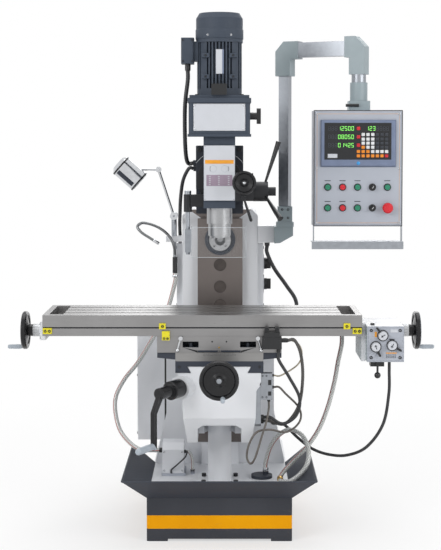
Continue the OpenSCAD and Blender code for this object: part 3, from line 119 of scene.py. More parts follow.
class Finish:
    """A material with a Principled shader, and the helpers to wire it."""

    def __init__(self, name, colour, roughness, metallic=0.0, **constants):
        self.material = bpy.data.materials.new(name)
        self.material.use_nodes = True
        self.tree = self.material.node_tree
        self.shader = self.tree.nodes["Principled BSDF"]
        self.colour = srgb(*colour)
        self.set("Base Color", self.colour)
        self.set("Roughness", roughness)
        self.set("Metallic", metallic)
        for key, value in constants.items():
            self.set(key.replace("_", " "), value)
        self.at = self.node("TexCoord", out="Object")

    def set(self, socket, value):
        """Puts a constant or a wire on one of the shader's sockets."""
        if isinstance(value, Wire):
            self.tree.links.new(value.socket, self.shader.inputs[socket])
        else:
            self.shader.inputs[socket].default_value = value

    def node(self, kind, sockets=None, out=0, **settings):
        made = self.tree.nodes.new("ShaderNode" + kind)
        for key, value in settings.items():
            setattr(made, key, value)
        for key, value in (sockets or {}).items():
            if isinstance(value, Wire):
                self.tree.links.new(value.socket, made.inputs[key])
            else:
                made.inputs[key].default_value = value
        return Wire(self, made.outputs[out])

    def axis(self, name):
        """The X, Y or Z of a point on the piece, in metres."""
        return self.node("SeparateXYZ", {0: self.at}, out=name)

    def noise(self, scale, detail, stretch=(1, 1, 1)):
        spread = self.node("Mapping", {"Vector": self.at, "Scale": stretch})
        return self.node("TexNoise", {"Vector": spread, "Scale": scale, "Detail": detail})

    def between(self, wire, low, high):
        """Runs from 0 at low to 1 at high."""
        return self.node("MapRange", {0: wire, 1: low, 2: high}, clamp=True)

    def patches(self, scale, detail, low, high):
        """Soft patches: noise, stretched between two of its levels."""
        return self.between(self.noise(scale, detail), low, high)

    def mix(self, factor, first, second):
        return self.node("Mix", {0: factor, 6: first, 7: second}, out=2, data_type="RGBA")

    def times(self, factor, lift=0.0):
        """The finish's colour times a factor, and lifted by a little white."""
        return [min(1, part * factor + lift) for part in self.colour[:3]] + [1]

    def shade(self, darker, lighter, factor):
        """The finish's colour, from darker times to lighter times itself."""
        return self.mix(factor, self.times(darker), self.times(lighter))

    def edge(self, radius):
        """About 1 on an outer or inner edge of that radius, and 0 on flat faces."""
        rounded = self.node("Bevel", {"Radius": radius}, samples=4)
        plain = self.node("NewGeometry", out="Normal")
        same = self.node("VectorMath", {0: rounded, 1: plain}, out="Value", operation="DOT_PRODUCT")
        return self.between(1 - same, 0.01, 0.18)

    def relief(self, height, strength, depth, radius=0.0015):
        """Bumps on the surface, over edges that look rounded."""
        rounded = self.node("Bevel", {"Radius": radius}, samples=4)
        bump = {"Height": height, "Strength": strength, "Distance": depth, "Normal": rounded}
        self.set("Normal", self.node("Bump", bump))

    def wired(self, colour, roughness, *relief):
        """Wires what most finishes vary, their colour, gloss and relief, and gives the material."""
        self.set("Base Color", colour)
        self.set("Roughness", roughness)
        self.relief(*relief)
        return self.material


# %% [markdown]
# Most of the machine is painted iron. Paint over a casting is never quite flat: it has a fine
# orange peel, small differences in gloss, and a little dirt and polish at its edges.


# %% Painted castings
def cast_paint(name, colour, roughness=0.34, peel=0.12, grain=420):
    finish = Finish(name, colour, roughness, Specular_IOR_Level=0.3, Coat_Weight=0.1, Coat_Roughness=0.18)
    tone = finish.shade(0.93, 1.03, finish.patches(5, 4, 0.3, 0.7))
    rubbed = finish.mix(finish.edge(0.003) * 0.45, tone, finish.times(1.12, 0.01))
    gloss = finish.patches(28, 3, 0.2, 0.8) * 0.16 + (roughness - 0.08)
    bumps = finish.noise(grain, 2) + finish.noise(40, 2) * 0.6
    return finish.wired(rubbed, gloss, bumps, peel, 0.0012, 0.003)


def crackle_paint(name, colour, roughness=0.5, strength=0.35):
    """Structure paint, with the small hard bumps that hide a rough casting."""
    finish = Finish(name, colour, roughness, Specular_IOR_Level=0.25)
    cells = finish.node("TexVoronoi", {"Vector": finish.at, "Scale": 520.0})
    bumps = finish.noise(700, 2) + cells
    tone = finish.shade(0.86, 1.12, finish.between(finish.noise(9, 4) * 0.6 + bumps * 0.2, 0.25, 0.85))
    worn = finish.mix(finish.edge(0.002) * 0.4, tone, finish.times(1.6, 0.03))
    gloss = finish.between(bumps, 0.2, 1.2) * 0.2 + (roughness - 0.1)
    return finish.wired(worn, gloss, bumps, strength, 0.0008, 0.0025)


white_paint = cast_paint("white_paint", (228, 230, 234))
green_grey_paint = cast_paint("green_grey_paint", (154, 167, 172), 0.4, 0.2)
panel_paint = cast_paint("panel_paint", (176, 181, 191), 0.42, 0.18, 900)
yellow_paint = cast_paint("yellow_paint", (226, 214, 44), 0.36)
slate_paint = crackle_paint("slate_paint", (66, 74, 86))
black_paint = crackle_paint("black_paint", (50, 54, 62), 0.42, 0.2)
tray_paint = crackle_paint("tray_paint", (62, 66, 75), 0.45, 0.2)
navy_paint = cast_paint("navy_paint", (42, 48, 60), 0.4)
print("paints ready")

# %% [markdown]
# The plinth carries a band of orange yellow all the way round. One material holds both paints and
# switches between them by height, with a hair of unevenness where the band was masked.

# %% Plinth paint
BAND_LOW, BAND_HIGH = 0.048, 0.099
plinth = Finish("plinth_paint", (66, 68, 74), 0.45, Specular_IOR_Level=0.12)
height = plinth.axis("Z") + (plinth.noise(60, 2) - 0.5) * 0.0012
band = (height > BAND_LOW) * (height < BAND_HIGH)
cloud = plinth.patches(6, 5, 0.3, 0.7)
dark = plinth.shade(0.88, 1.1, cloud)
bright = plinth.mix(cloud, srgb(234, 156, 0), srgb(244, 170, 0))
scuffs = plinth.between(plinth.noise(16, 6, (1, 1, 3)), 0.66, 0.8) * 0.25
tone = plinth.mix(scuffs, plinth.mix(band, dark, bright), srgb(120, 116, 108))
gloss = plinth.patches(30, 3, 0.2, 0.8) * 0.2 + 0.34
plinth_paint = plinth.wired(tone, gloss, plinth.noise(480, 2), 0.16, 0.001, 0.003)

# %% [markdown]
# Slideways and the table are ground. The wheel leaves long parallel scratches, so the noise that
# makes them is stretched along one axis. Oil and handling leave broad soft stains over it.


# %% Ground and plated steel
def ground_steel(name, colour, stretch, roughness=0.32):
    finish = Finish(name, colour, roughness, 1.0)
    lines = finish.noise(900, 3, stretch)
    stains = finish.patches(4, 5, 0.35, 0.7)
    tone = finish.shade(0.8, 1.12, stains * 0.55 + lines * 0.45)
    gloss = stains * -0.1 + finish.between(lines, 0.2, 0.8) * 0.16 + roughness
    return finish.wired(tone, gloss, lines, 0.12, 0.0006, 0.0012)


def plated(name, colour, roughness, smudge=0.12):
    finish = Finish(name, colour, roughness, 1.0)
    marks = finish.patches(60, 4, 0.35, 0.75)
    tone = finish.shade(0.9, 1.05, marks)
    return finish.wired(tone, marks * smudge + roughness, finish.noise(300, 2), 0.04, 0.0004, 0.001)


table_steel = ground_steel("table_steel", (150, 149, 149), (0.03, 1, 1))
way_steel = ground_steel("way_steel", (124, 117, 114), (1, 1, 0.03), 0.4)
turned_steel = ground_steel("turned_steel", (168, 169, 171), (1, 1, 1), 0.26)
chrome = plated("chrome", (205, 207, 210), 0.1)
alloy = plated("alloy", (156, 160, 166), 0.36, 0.1)
brass = plated("brass", (196, 160, 84), 0.25)
spout_steel = plated("spout_steel", (128, 130, 132), 0.3)

# %% [markdown]
# Blacked steel and moulded plastic are both black and differ in gloss: steel rubs bright at its
# edges, plastic keeps a fine spark-eroded grain.


# %% Black steel and plastics
def blacked(name, colour=(32, 33, 36), roughness=0.38):
    finish = Finish(name, colour, roughness, 0.35)
    cloud = finish.patches(24, 4, 0.3, 0.75)
    tone = finish.shade(0.8, 1.35, cloud)
    rubbed = finish.mix(finish.edge(0.0015) * 0.5, tone, srgb(112, 114, 118))
    gloss = cloud * 0.14 + (roughness - 0.06)
    return finish.wired(rubbed, gloss, finish.noise(500, 2), 0.08, 0.0006, 0.0012)


def moulded(name, colour, roughness=0.4, grain=0.1, low=0.92):
    finish = Finish(name, colour, roughness)
    tone = finish.shade(low, 2 - low, finish.patches(35, 3, 0.3, 0.7))
    gloss = finish.noise(220, 2) * 0.12 + (roughness - 0.06)
    return finish.wired(tone, gloss, finish.noise(1600, 2), grain, 0.0005, 0.001)


black_steel = blacked("black_steel")
plug_steel = blacked("plug_steel", (78, 71, 68), 0.5)
wheel_black = blacked("wheel_black", (27, 27, 29), 0.22)
black_plastic = moulded("black_plastic", (26, 27, 29), 0.34)
grip_plastic = moulded("grip_plastic", (166, 175, 184), 0.38)
green_plastic = moulded("green_plastic", (38, 128, 98), 0.28)
red_plastic = moulded("red_plastic", (204, 34, 46), 0.28)
white_plastic = moulded("white_plastic", (224, 226, 228), 0.35)
orange_plastic = moulded("orange_plastic", (230, 140, 40), 0.35)
grey_plastic = moulded("grey_plastic", (112, 124, 150), 0.42)
screen_plastic = moulded("screen_plastic", (22, 24, 28), 0.18, 0.03)
plate_print = moulded("plate_print", (202, 205, 211), 0.3, 0.04, 0.985)
dark_print = moulded("dark_print", (52, 56, 64), 0.34, 0.04)
mauve_print = moulded("mauve_print", (150, 134, 150), 0.34, 0.04)
orange_print = moulded("orange_print", (233, 158, 46), 0.3, 0.04)
print("steel and plastics ready")

# %% [markdown]
# A few finishes follow a place on one piece. The saddle is steel above and painted below. The
# dials have fine lines round them, which an angle measured about their own axis can draw.


# %% Saddle, dials and clear sheet
saddle = Finish("saddle_finish", (152, 151, 150), 0.34, 1.0)
upper = (saddle.axis("Z") > 0.6885) * (abs(saddle.axis("X")) < 0.1655)
lines = saddle.noise(900, 3, (0.03, 1, 1))
steel_tone = saddle.shade(0.85, 1.1, lines)
paint_tone = saddle.mix(saddle.noise(8, 4), srgb(36, 42, 54), srgb(50, 56, 68))
tone = saddle.mix(upper, paint_tone, steel_tone)
saddle.set("Metallic", upper)
saddle_finish = saddle.wired(tone, 0.44 - upper * 0.08 + lines * 0.06, lines, 0.1, 0.0006, 0.002)

WHEEL_AXIS = (-346, 786)
DIAL_MARKS = 60


def dial_finish(name, start, end):
    """Lines round a table handwheel's axis, drawn between two places along it."""
    finish = Finish(name, (190, 192, 194), 0.34, 0.6)
    first = finish.axis("Y") - WHEEL_AXIS[0] * MM
    second = finish.axis("Z") - WHEEL_AXIS[1] * MM
    angle = finish.node("Math", {0: second, 1: first}, operation="ARCTAN2")
    turn = angle * (DIAL_MARKS / (2 * math.pi))
    place = finish.axis("X")
    line = abs((turn % 1) - 0.5) < 0.13
    fifth = abs(((turn / 5) % 1) - 0.5) < 0.03
    short = (place > start) * (place < (start + end) / 2)
    tall = (place > start) * (place < end)
    drawn = finish.node("Math", {0: line * short + fifth * tall, 1: 1}, operation="MINIMUM")
    tone = finish.mix(drawn, finish.shade(0.92, 1.05, finish.noise(30, 3)), srgb(30, 31, 34))
    return finish.wired(tone, finish.noise(200, 2) * 0.1 + 0.3, finish.noise(400, 2), 0.05, 0.0005, 0.001)


dial_left = dial_finish("dial_left", -0.72, -0.704)
dial_right = dial_finish("dial_right", 0.703, 0.722)

clear = Finish("clear_plastic", (236, 241, 244), 0.05, Alpha=0.03, IOR=1.49)
haze = clear.patches(30, 5, 0.45, 0.8)
clear.set("Alpha", haze * 0.015 + 0.02)
clear.set("Roughness", haze * 0.1 + 0.04)
clear_plastic = clear.material
clear_plastic.surface_render_method = "BLENDED"

lens = Finish("lamp_lens", (238, 240, 236), 0.16, Coat_Weight=0.8)
rings = lens.noise(90, 1)
lens.set("Base Color", lens.shade(0.86, 1.04, rings))
lens.relief(rings, 0.2, 0.001)
lamp_lens = lens.material

# The digits of the readout glow a little.
light = Finish("green_light", (120, 214, 92), 0.4, Emission_Strength=0.9)
glow = light.patches(900, 1, 0.2, 0.8)
light.set("Base Color", light.shade(0.85, 1.1, glow))
light.set("Emission Color", light.shade(0.9, 1.1, glow))
green_light = light.material
print("special finishes ready")

# %% [markdown]
# Now the CAD nodes get their finishes. A node may carry several: each of its faces is a flat or
# round bit of one surface, so a rule on the face's middle, in millimetres, picks the finish. The
# mesh itself isn't touched.


# %% Dress the CAD nodes
def dress(node, finish, *rules):
    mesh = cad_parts[node].data
    mesh.materials.clear()
    for material in [finish] + [material for material, _ in rules]:
        mesh.materials.append(material)
    for face in mesh.polygons:
        middle = face.center / MM
        for index, (_, rule) in enumerate(rules):
            if rule(middle, face.normal):
                face.material_index = index + 1
                break
        else:
            face.material_index = 0


def far_from(middle, axis, place, radius):
    """Whether a face's middle lies further than that radius from an axis through a place."""
    across = [part for name, part in zip("XYZ", middle) if name != axis]
    return math.dist(across, place) > radius


POST = Vector((268, 26, 0))
ARM_ANGLE = math.radians(27.5)


def arm_place(middle):
    """How far along the panel's arm a place is, from the post, in millimetres."""
    away = middle - POST
    return away.x * math.cos(ARM_ANGLE) - away.y * math.sin(ARM_ANGLE)


PLAIN = (
    (tray_paint, "chip_tray"),
    (white_paint, "cabinet"),
    (saddle_finish, "saddle"),
    (yellow_paint, "table_stops"),
    (black_paint, "ram"),
    (slate_paint, "fan_cover"),
    (black_steel, "quill_lock"),
    (wheel_black, "fine_feed_wheel"),
    (turned_steel, "horizontal_spindle knee_screw table_screw quill vertical_spindle"),
    (chrome, "clamp_lever_left clamp_lever_right lamp_arm"),
    (green_plastic, "button_coolant_on button_jog button_start button_spindle_on button_feed"),
    (red_plastic, "button_coolant_off button_spindle_off emergency_stop"),
    (black_plastic, "speed_knob_upper speed_knob_lower feed_ball_lever belt_lever"),
    (black_plastic, "selector_upper selector_lower"),
    (black_plastic, "base_lines table_lines switch_cables motor_cable"),
)
for finish, nodes in PLAIN:
    for node in nodes.split():
        dress(node, finish)

dress("base_plinth", plinth_paint, (white_paint, lambda m, n: m.z > 165.5))
dress("screw_housing", white_paint,
      (black_steel, lambda m, n: m.z > 182.5 and far_from(m, "Z", (0, -274), 70)))
dress("column", white_paint,
      (way_steel, lambda m, n: abs(m.x) < 94 and m.y < 51 and m.z > 262.5))
dress("column_fittings", alloy,
      (navy_paint, lambda m, n: abs(m.x) < 70 and m.y < 26.5),
      (plug_steel, lambda m, n: abs(m.x) < 70),
      (white_paint, lambda m, n: m.y > 50 and 1096 < m.z < 1122),
      (black_plastic, lambda m, n: m.z < 1034.5 and abs(m.x + 188) < 10.5))
dress("coolant_pump", white_paint,
      (tray_paint, lambda m, n: m.x > 100),
      (black_plastic, lambda m, n: m.x < -235.5 or m.x > -144.5 and m.z > 176.5),
      (panel_paint, lambda m, n: m.z < 176.5))
dress("panel_bracket", green_grey_paint,
      (black_plastic, lambda m, n: m.z < 1093.5),
      (white_paint, lambda m, n: m.x < 223.5))
dress("knee", white_paint,
      (black_plastic, lambda m, n: m.x > 200.5 or m.x > 157.5 and not 539.5 < m.z < 640.5),
      (alloy, lambda m, n: m.x > 157.5 or m.x > 137 and -474 < m.y < -394 and 437 < m.z < 575),
      (way_steel, lambda m, n: n.y > -0.5 and (m.z > 644.5 or abs(m.x) < 94 and m.y > 24)))
dress("knee_crank", wheel_black,
      (grip_plastic, lambda m, n: m.z < 420 and m.y < -655))
dress("cross_handwheel", wheel_black,
      (grip_plastic, lambda m, n: m.y < -656 and far_from(m, "Y", (0, 644), 45)))
dress("table", table_steel,
      (black_paint, lambda m, n: -495.5 < m.y < -487 and 813.5 < m.z < 819.5))
dress("swivel_block", table_steel,
      (black_paint, lambda m, n: 77 < abs(m.x) < 139 and -493.5 < m.y < -440 and 740 < m.z < 767),
      (black_steel, lambda m, n: abs(abs(m.x) - 108) < 8 and m.y < -470 and m.z < 765),
      (navy_paint, lambda m, n: abs(m.x) > 184 and n.z < -0.3))
dress("limit_switch", black_plastic, (yellow_paint, lambda m, n: m.x < -180))
dress("end_housings", white_paint,
      (green_grey_paint, lambda m, n: 535 < m.x < 552.5 and n.x < -0.5),
      (panel_paint, lambda m, n: m.x > 552 and m.y < -523.5),
      (black_plastic, lambda m, n: m.x > 552 and (m.z < 691.5 or (m.z > 826.5 and m.x < 590))))
dress("handwheel_left", wheel_black,
      (dial_left, lambda m, n: m.x > -721 and far_from(m, "X", WHEEL_AXIS, 15)),
      (grip_plastic, lambda m, n: m.x < -760 and far_from(m, "X", WHEEL_AXIS, 45)))
dress("handwheel_right", wheel_black,
      (dial_right, lambda m, n: m.x < 731 and far_from(m, "X", WHEEL_AXIS, 15)),
      (grip_plastic, lambda m, n: m.x > 770 and far_from(m, "X", WHEEL_AXIS, 45)))
for lever in ("speed", "mode", "range"):
    dress("feed_lever_" + lever, black_plastic, (plate_print, lambda m, n: m.y > -530.5))
dress("head_casting", slate_paint,
      (black_steel, lambda m, n: m.x > 61 or m.x < -61),
      (turned_steel, lambda m, n: m.z < 1261.5 and m.x > -70),
      (black_steel, lambda m, n: m.z < 1261.5),
      (black_paint, lambda m, n: m.y > -327))
dress("motor_body", slate_paint, (black_plastic, lambda m, n: m.x < -105 and m.z < 1810.5))
dress("belt_housing", slate_paint,
      (plate_print, lambda m, n: abs(m.x) < 98 and m.y < -449 and 1554 < m.z < 1658),
      (black_plastic, lambda m, n: m.z > 1690.5))
dress("quill_levers", black_plastic,
      (black_steel, lambda m, n: not far_from(m, "X", (-374, 1324), 39)))
dress("chip_guard", alloy, (clear_plastic, lambda m, n: m.x > -107.9))
dress("lamp_head", chrome,
      (lamp_lens, lambda m, n: n.x > 0.7 and n.z < -0.6 and m.x > -350))
dress("panel_arm", alloy,
      (green_grey_paint, lambda m, n: m.z > 1781.5 and not 67 < arm_place(m) < 272))
dress("control_panel", panel_paint,
      (black_plastic, lambda m, n: 1650 < m.z < 1666 and m.y < -166.8),
      (grey_plastic, lambda m, n: m.y < -202.5 and 1413 < m.z < 1601),
      (black_plastic, lambda m, n: m.y < -202.5 and 1200 < m.z < 1360),
      (green_grey_paint, lambda m, n: m.z > 1637.5),
      (alloy, lambda m, n: m.z < 1178.5))
print("CAD nodes dressed:", len(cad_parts))

# %% [markdown]
# Hoses and cables come next, because they must lie where their CAD solids are. Each follows a
# route of listed points, smoothed into one curve. A hose that hangs between moving parts is
# cut into stretches.


# %% Hose and cable finishes
def round_and_along(finish):
    """The place round a tube, 0 to 1, and along it in metres, from its own UV map."""
    place = finish.node("UVMap", uv_map="length")
    return [finish.node("SeparateXYZ", {0: place}, out=name) for name in "XY"]


braid = Finish("braided_hose", (186, 188, 186), 0.3, Coat_Weight=0.7, Coat_Roughness=0.1)
turn, along = round_and_along(braid)
threads = [abs(((turn * 6 + along * slant) % 1) - 0.5) < 0.12 for slant in (70, -70)]
thread = braid.node("Math", {0: threads[0], 1: threads[1]}, operation="MAXIMUM")
red_line = abs(turn - 0.62) < 0.022
inside = braid.mix(braid.noise(40, 3), srgb(150, 153, 152), srgb(184, 186, 182))
outside = braid.mix(thread, inside, srgb(226, 228, 226))
braid.set("Base Color", braid.mix(red_line, outside, srgb(176, 62, 58)))
braid.relief(thread, 0.25, 0.0006, 0.0005)
braided_hose = braid.material


def cable_finish(name, colour, roughness):
    finish = Finish(name, colour, roughness)
    turn, along = round_and_along(finish)
    tone = finish.shade(0.82, 1.2, finish.patches(26, 3, 0.3, 0.7))
    gloss = finish.noise(120, 2) * 0.14 + (roughness - 0.07)
    rings = abs(((along * 160) % 1) - 0.5)
    return finish.wired(tone, gloss, rings + abs(turn - 0.5) * 0.1, 0.2, 0.0005, 0.0005)


black_cable = cable_finish("black_cable", (40, 41, 44), 0.42)
grey_cable = cable_finish("grey_cable", (74, 72, 70), 0.45)
beige_cable = cable_finish("beige_cable", (170, 160, 140), 0.45)
armoured_cable = cable_finish("armoured_cable", (96, 91, 86), 0.36)

# %% [markdown]
# A tube is a row of rings along the curve. Each ring's side direction is carried on from the one
# before, so the tube doesn't twist. A conduit's rings swell and shrink to give it its ribs.


# %% Lay the hoses and cables
def smooth(route, step):
    points = [Vector(place) * MM for place in route]
    ends = [2 * points[0] - points[1]] + points + [2 * points[-1] - points[-2]]
    path = []
    for a, b, c, d in zip(ends, ends[1:], ends[2:], ends[3:]):
        count = max(1, round((c - b).length / step))
        for t in (i / count for i in range(count)):
            curve = 2 * b + (c - a) * t + (2 * a - 5 * b + 4 * c - d) * t**2
            path.append(0.5 * (curve + (3 * b - a - 3 * c + d) * t**3))
    return path + [points[-1]]


def lengths(path):
    total = [0.0]
    for first, second in zip(path, path[1:]):
        total.append(total[-1] + (second - first).length)
    return total


def tube(name, path, radii, along, sides=14):
    """A closed tube through the path, with its length in metres in the UV map."""
    corners, faces, uses = [], [], []
    side = Vector((0.1, 1, 0.05))
    for i, place in enumerate(path):
        ahead = (path[min(i + 1, len(path) - 1)] - path[max(i - 1, 0)]).normalized()
        side = (side - ahead * side.dot(ahead)).normalized()
        up = ahead.cross(side)
        for k in range(sides):
            turn = 2 * math.pi * k / sides
            corners.append(place + radii[i] * (math.cos(turn) * side + math.sin(turn) * up))
    for i in range(len(path) - 1):
        for k in range(sides):
            j = (k + 1) % sides
            low, high = i * sides, (i + 1) * sides
            faces.append((low + k, low + j, high + j, high + k))
            left, right = k / sides, (k + 1) / sides
            uses += [(left, along[i]), (right, along[i]), (right, along[i + 1]), (left, along[i + 1])]
    last = (len(path) - 1) * sides
    for ring, place in ((list(range(sides))[::-1], along[0]), (list(range(last, last + sides)), along[-1])):
        faces.append(tuple(ring))
        uses += [(0.5, place)] * sides
    mesh = bpy.data.meshes.new(name)
    mesh.from_pydata(corners, [], faces)
    layer = mesh.uv_layers.new(name="length")
    for loop, use in zip(layer.data, uses):
        loop.uv = use
    piece = bpy.data.objects.new(name, mesh)
    bpy.context.scene.collection.objects.link(piece)
    for face in mesh.polygons:
        face.use_smooth = len(face.vertices) == 4
    return piece


def hose(name, route, radius, finish, node, bodies, cuts=(), step=0.006, rib=0.0):
    """Lays a hose along a route: one piece, or one for each stretch between cuts."""
    path = smooth(route, step)
    along = lengths(path)
    radii = [(radius + rib * (1 if i % 2 else -1)) * MM for i in range(len(path))]
    marks = [next(i for i, a in enumerate(along) if a >= cut * along[-1]) for cut in cuts]
    marks = [0] + marks + [len(path) - 1]
    for number, (first, last) in enumerate(zip(marks, marks[1:])):
        part = slice(first, last + 1)
        label = name if not cuts else f"{name}_{number + 1}"
        piece = tube(label, path[part], radii[part], along[part])
        piece.data.materials.append(finish)
        if len(bodies) == 1:
            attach(piece, bodies[0])
        else:
            bodies[number + 1]
            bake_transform(piece)
        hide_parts(node)
    print(name, "is", round(along[-1], 3), "m long")


SUPPLY = [(-188, 46, 968), (-188, 46, 928), (-232, 66, 775), (-277, 72, 699), (-344, 70, 590),
          (-400, 62, 520), (-436, 46, 448), (-434, 18, 376), (-406, -20, 308), (-340, -76, 260),
          (-270, -100, 258), (-247, -100, 258)]
LOOP = [(184, -176, 191), (184, -176, 225), (206, -178, 296), (244, -188, 346), (284, -210, 366),
        (326, -256, 354), (348, -302, 308), (340, -334, 258), (308, -346, 218), (270, -340, 192),
        (241, -308, 184), (238, -280, 184)]
OUTLET = [(-138, -124, 258), (-128, -124, 258), (-115, -124, 240), (-111, -124, 212), (-111, -124, 184)]
PUMP = [(-139, -142, 262), (-133, -142, 262), (-140, -162, 244), (-172, -166, 214), (-196, -154, 190),
        (-196, -154, 176)]
ARM = [(196, 70, 1080), (196, 70, 1050), (226, 62, 985), (278, 86, 910), (320, 124, 840), (318, 146, 760),
       (256, 150, 700), (225, 150, 700)]
DRAIN = [(482, -240, 769), (482, -240, 715), (468, -240, 645), (454, -240, 565), (428, -242, 465),
         (394, -246, 380), (350, -246, 312), (300, -238, 256), (262, -236, 214), (241, -252, 191),
         (238, -271, 187)]
FEED = [(648, -420, 680), (648, -420, 640), (648, -412, 550), (628, -398, 430), (570, -365, 335),
        (500, -315, 290), (430, -264, 280), (366, -222, 294), (310, -180, 330), (264, -160, 372),
        (234, -220, 396), (206, -350, 424), (188, -407, 458), (168, -407, 458)]
SWITCH_A = [(222, -520, 730), (222, -520, 700), (262, -508, 632), (302, -493, 550), (290, -474, 480),
            (240, -462, 446), (192, -458, 470), (168, -458, 470)]
SWITCH_B = [(256, -515, 772), (282, -515, 772), (306, -504, 716), (314, -484, 620), (300, -450, 510),
            (250, -434, 440), (192, -431, 450), (168, -431, 450)]
SCALE = [(234, -470, 770), (256, -470, 770), (298, -476, 752), (311, -480, 714), (294, -474, 672),
         (234, -458, 630), (206, -458, 630)]
READER = [(187, -462, 532), (187, -462, 504), (178, -484, 460), (160, -494, 405), (136, -490, 325),
          (118, -482, 298), (104, -478, 322), (112, -478, 370), (140, -478, 416), (190, -466, 424),
          (258, -432, 408), (306, -426, 446), (304, -434, 500), (250, -452, 560), (226, -458, 585),
          (206, -458, 585)]
MOTOR = [(-121.5, -346, 1786), (-121.5, -346, 1750), (-132, -340, 1660), (-134, -320, 1560),
         (-132, -280, 1470), (-124, -240, 1430), (-104, -240, 1430)]
CONDUIT = [(-104, -196, 1408), (-122, -196, 1408), (-146, -172, 1360), (-158, -110, 1290),
           (-164, -20, 1224), (-169, 80, 1160), (-169, 124, 1116), (-169, 124, 1089)]

TABLE_CHAIN = ("table", "swivel", "saddle", "knee", "base")
SWITCH_CHAIN = ("swivel", "saddle", "knee")
hose("supply_hose", SUPPLY, 9, braided_hose, "base_lines", ["base"])
hose("return_hose", LOOP, 9, braided_hose, "base_lines", ["base"])
hose("pump_hose", OUTLET, 6, braided_hose, "base_lines", ["base"], step=0.004)
hose("pump_cable", PUMP, 3, black_cable, "base_lines", ["base"], step=0.004)
hose("panel_conduit", ARM, 8, black_cable, "base_lines", ["base"], step=0.0035, rib=0.5)
hose("drain_hose", DRAIN, 9, braided_hose, "table_lines", TABLE_CHAIN, (0.2, 0.365, 0.53))
hose("feed_cable", FEED, 6, black_cable, "table_lines", TABLE_CHAIN + ("knee",), (0.32, 0.43, 0.51, 0.6))
hose("switch_cable_a", SWITCH_A, 6, black_cable, "switch_cables", SWITCH_CHAIN, (0.5,), 0.003, 0.4)
hose("switch_cable_b", SWITCH_B, 6, grey_cable, "switch_cables", SWITCH_CHAIN, (0.5,), 0.003, 0.4)
hose("scale_cable", SCALE, 3, beige_cable, "switch_cables", SWITCH_CHAIN, (0.5,), 0.004)
hose("reader_cable", READER, 4, armoured_cable, "switch_cables", ["knee"], step=0.0025, rib=0.35)
hose("motor_conduit", MOTOR, 8, black_cable, "motor_cable", ("head", "ram"), step=0.0035, rib=0.5)
hose("column_conduit", CONDUIT, 7, black_cable, "motor_cable", ("ram", "base"), step=0.0035, rib=0.5)

# %% [markdown]
# Small parts are modelled as by hand: a primitive is added at its size, shaped in edit mode, and
# its place is then applied to its mesh. What repeats is modelled once, copied and joined.


# %% Modelling helpers
def only(*pieces):
    """Selects these pieces alone, because an operator acts on everything selected."""
    bpy.ops.object.select_all(action="DESELECT")
    for piece in pieces:
        piece.select_set(True)
    if pieces:
        bpy.context.view_layer.objects.active = pieces[0]


def mode(name):
    bpy.ops.object.mode_set(mode=name)


def settle(piece, name, finish, body):
    """Puts the piece's place into its mesh, and gives it its name, finish and body."""
    only(piece)
    bpy.ops.object.transform_apply(location=True, rotation=True, scale=True)
    piece.name = name
    piece.data.name = name
    piece.data.materials.clear()
    piece.data.materials.append(finish)
    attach(piece, body)


def join(pieces):
    only(*pieces)
    if len(pieces) > 1:
        bpy.ops.object.join()
    return pieces[0]


def bar(low, high, round_off, steps=1):
    """A bar between two corners, in millimetres, with its edges rounded."""
    low, high = Vector(low) * MM, Vector(high) * MM
    only()
    bpy.ops.mesh.primitive_cube_add(size=1, location=(low + high) / 2)
    piece = bpy.context.object
    piece.scale = high - low
    bpy.ops.object.transform_apply(location=False, rotation=False, scale=True)
    mode("EDIT")
    bpy.ops.mesh.select_all(action="SELECT")
    bpy.ops.mesh.bevel(offset=round_off * MM, segments=steps)
    mode("OBJECT")
    return piece


def turned(outline, steps, angle=360):
    """A turned part on the Z axis: its half outline of (radius, height), spun round or part of it."""
    mesh = bpy.data.meshes.new("turned")
    edges = [(i, i + 1) for i in range(len(outline) - 1)]
    mesh.from_pydata([(r * MM, 0, z * MM) for r, z in outline], edges, [])
    piece = bpy.data.objects.new("turned", mesh)
    bpy.context.scene.collection.objects.link(piece)
    only(piece)
    mode("EDIT")
    bpy.ops.mesh.select_all(action="SELECT")
    bpy.ops.mesh.spin(steps=steps, angle=math.radians(angle), center=(0, 0, 0), axis=(0, 0, 1))
    bpy.ops.mesh.select_all(action="SELECT")
    bpy.ops.mesh.remove_doubles(threshold=0.00001)
    if angle < 360:
        bpy.ops.mesh.fill_holes(sides=0)
    bpy.ops.mesh.normals_make_consistent(inside=False)
    mode("OBJECT")
    bpy.ops.object.shade_smooth_by_angle(angle=math.radians(35))
    return piece


def pick_top(piece):
    """Selects the uppermost face alone, in edit mode."""
    mode("EDIT")
    bpy.ops.mesh.select_all(action="DESELECT")
    mode("OBJECT")
    top = max(piece.data.polygons, key=lambda face: (round(face.center.z, 6), face.area))
    top.select = True
    mode("EDIT")


def cap_screw(radius, head):
    """A socket-head screw on the Z axis: a cylinder, a rounded rim and a sunk socket."""
    rim, socket, sunk = radius * 0.14, radius * 0.55, head * 0.55
    size = {"radius": radius * MM, "depth": head * MM, "location": (0, 0, head * MM / 2)}
    only()
    bpy.ops.mesh.primitive_cylinder_add(vertices=12, **size)
    piece = bpy.context.object
    pick_top(piece)
    bpy.ops.mesh.bevel(offset=rim * MM, segments=2)
    pick_top(piece)
    bpy.ops.mesh.inset(thickness=(radius - rim - socket) * MM)
    bpy.ops.mesh.extrude_region_move(TRANSFORM_OT_translate={"value": (0, 0, -sunk * MM)})
    mode("OBJECT")
    return piece


def stand(piece, place, *turns):
    """Puts a piece at a place in millimetres, turned by (degrees, axis) pairs, the last one first."""
    matrix = Matrix.Translation(Vector(place) * MM)
    for degrees, axis in turns:
        matrix = matrix @ Matrix.Rotation(math.radians(degrees), 4, axis)
    piece.matrix_world = matrix
    return piece


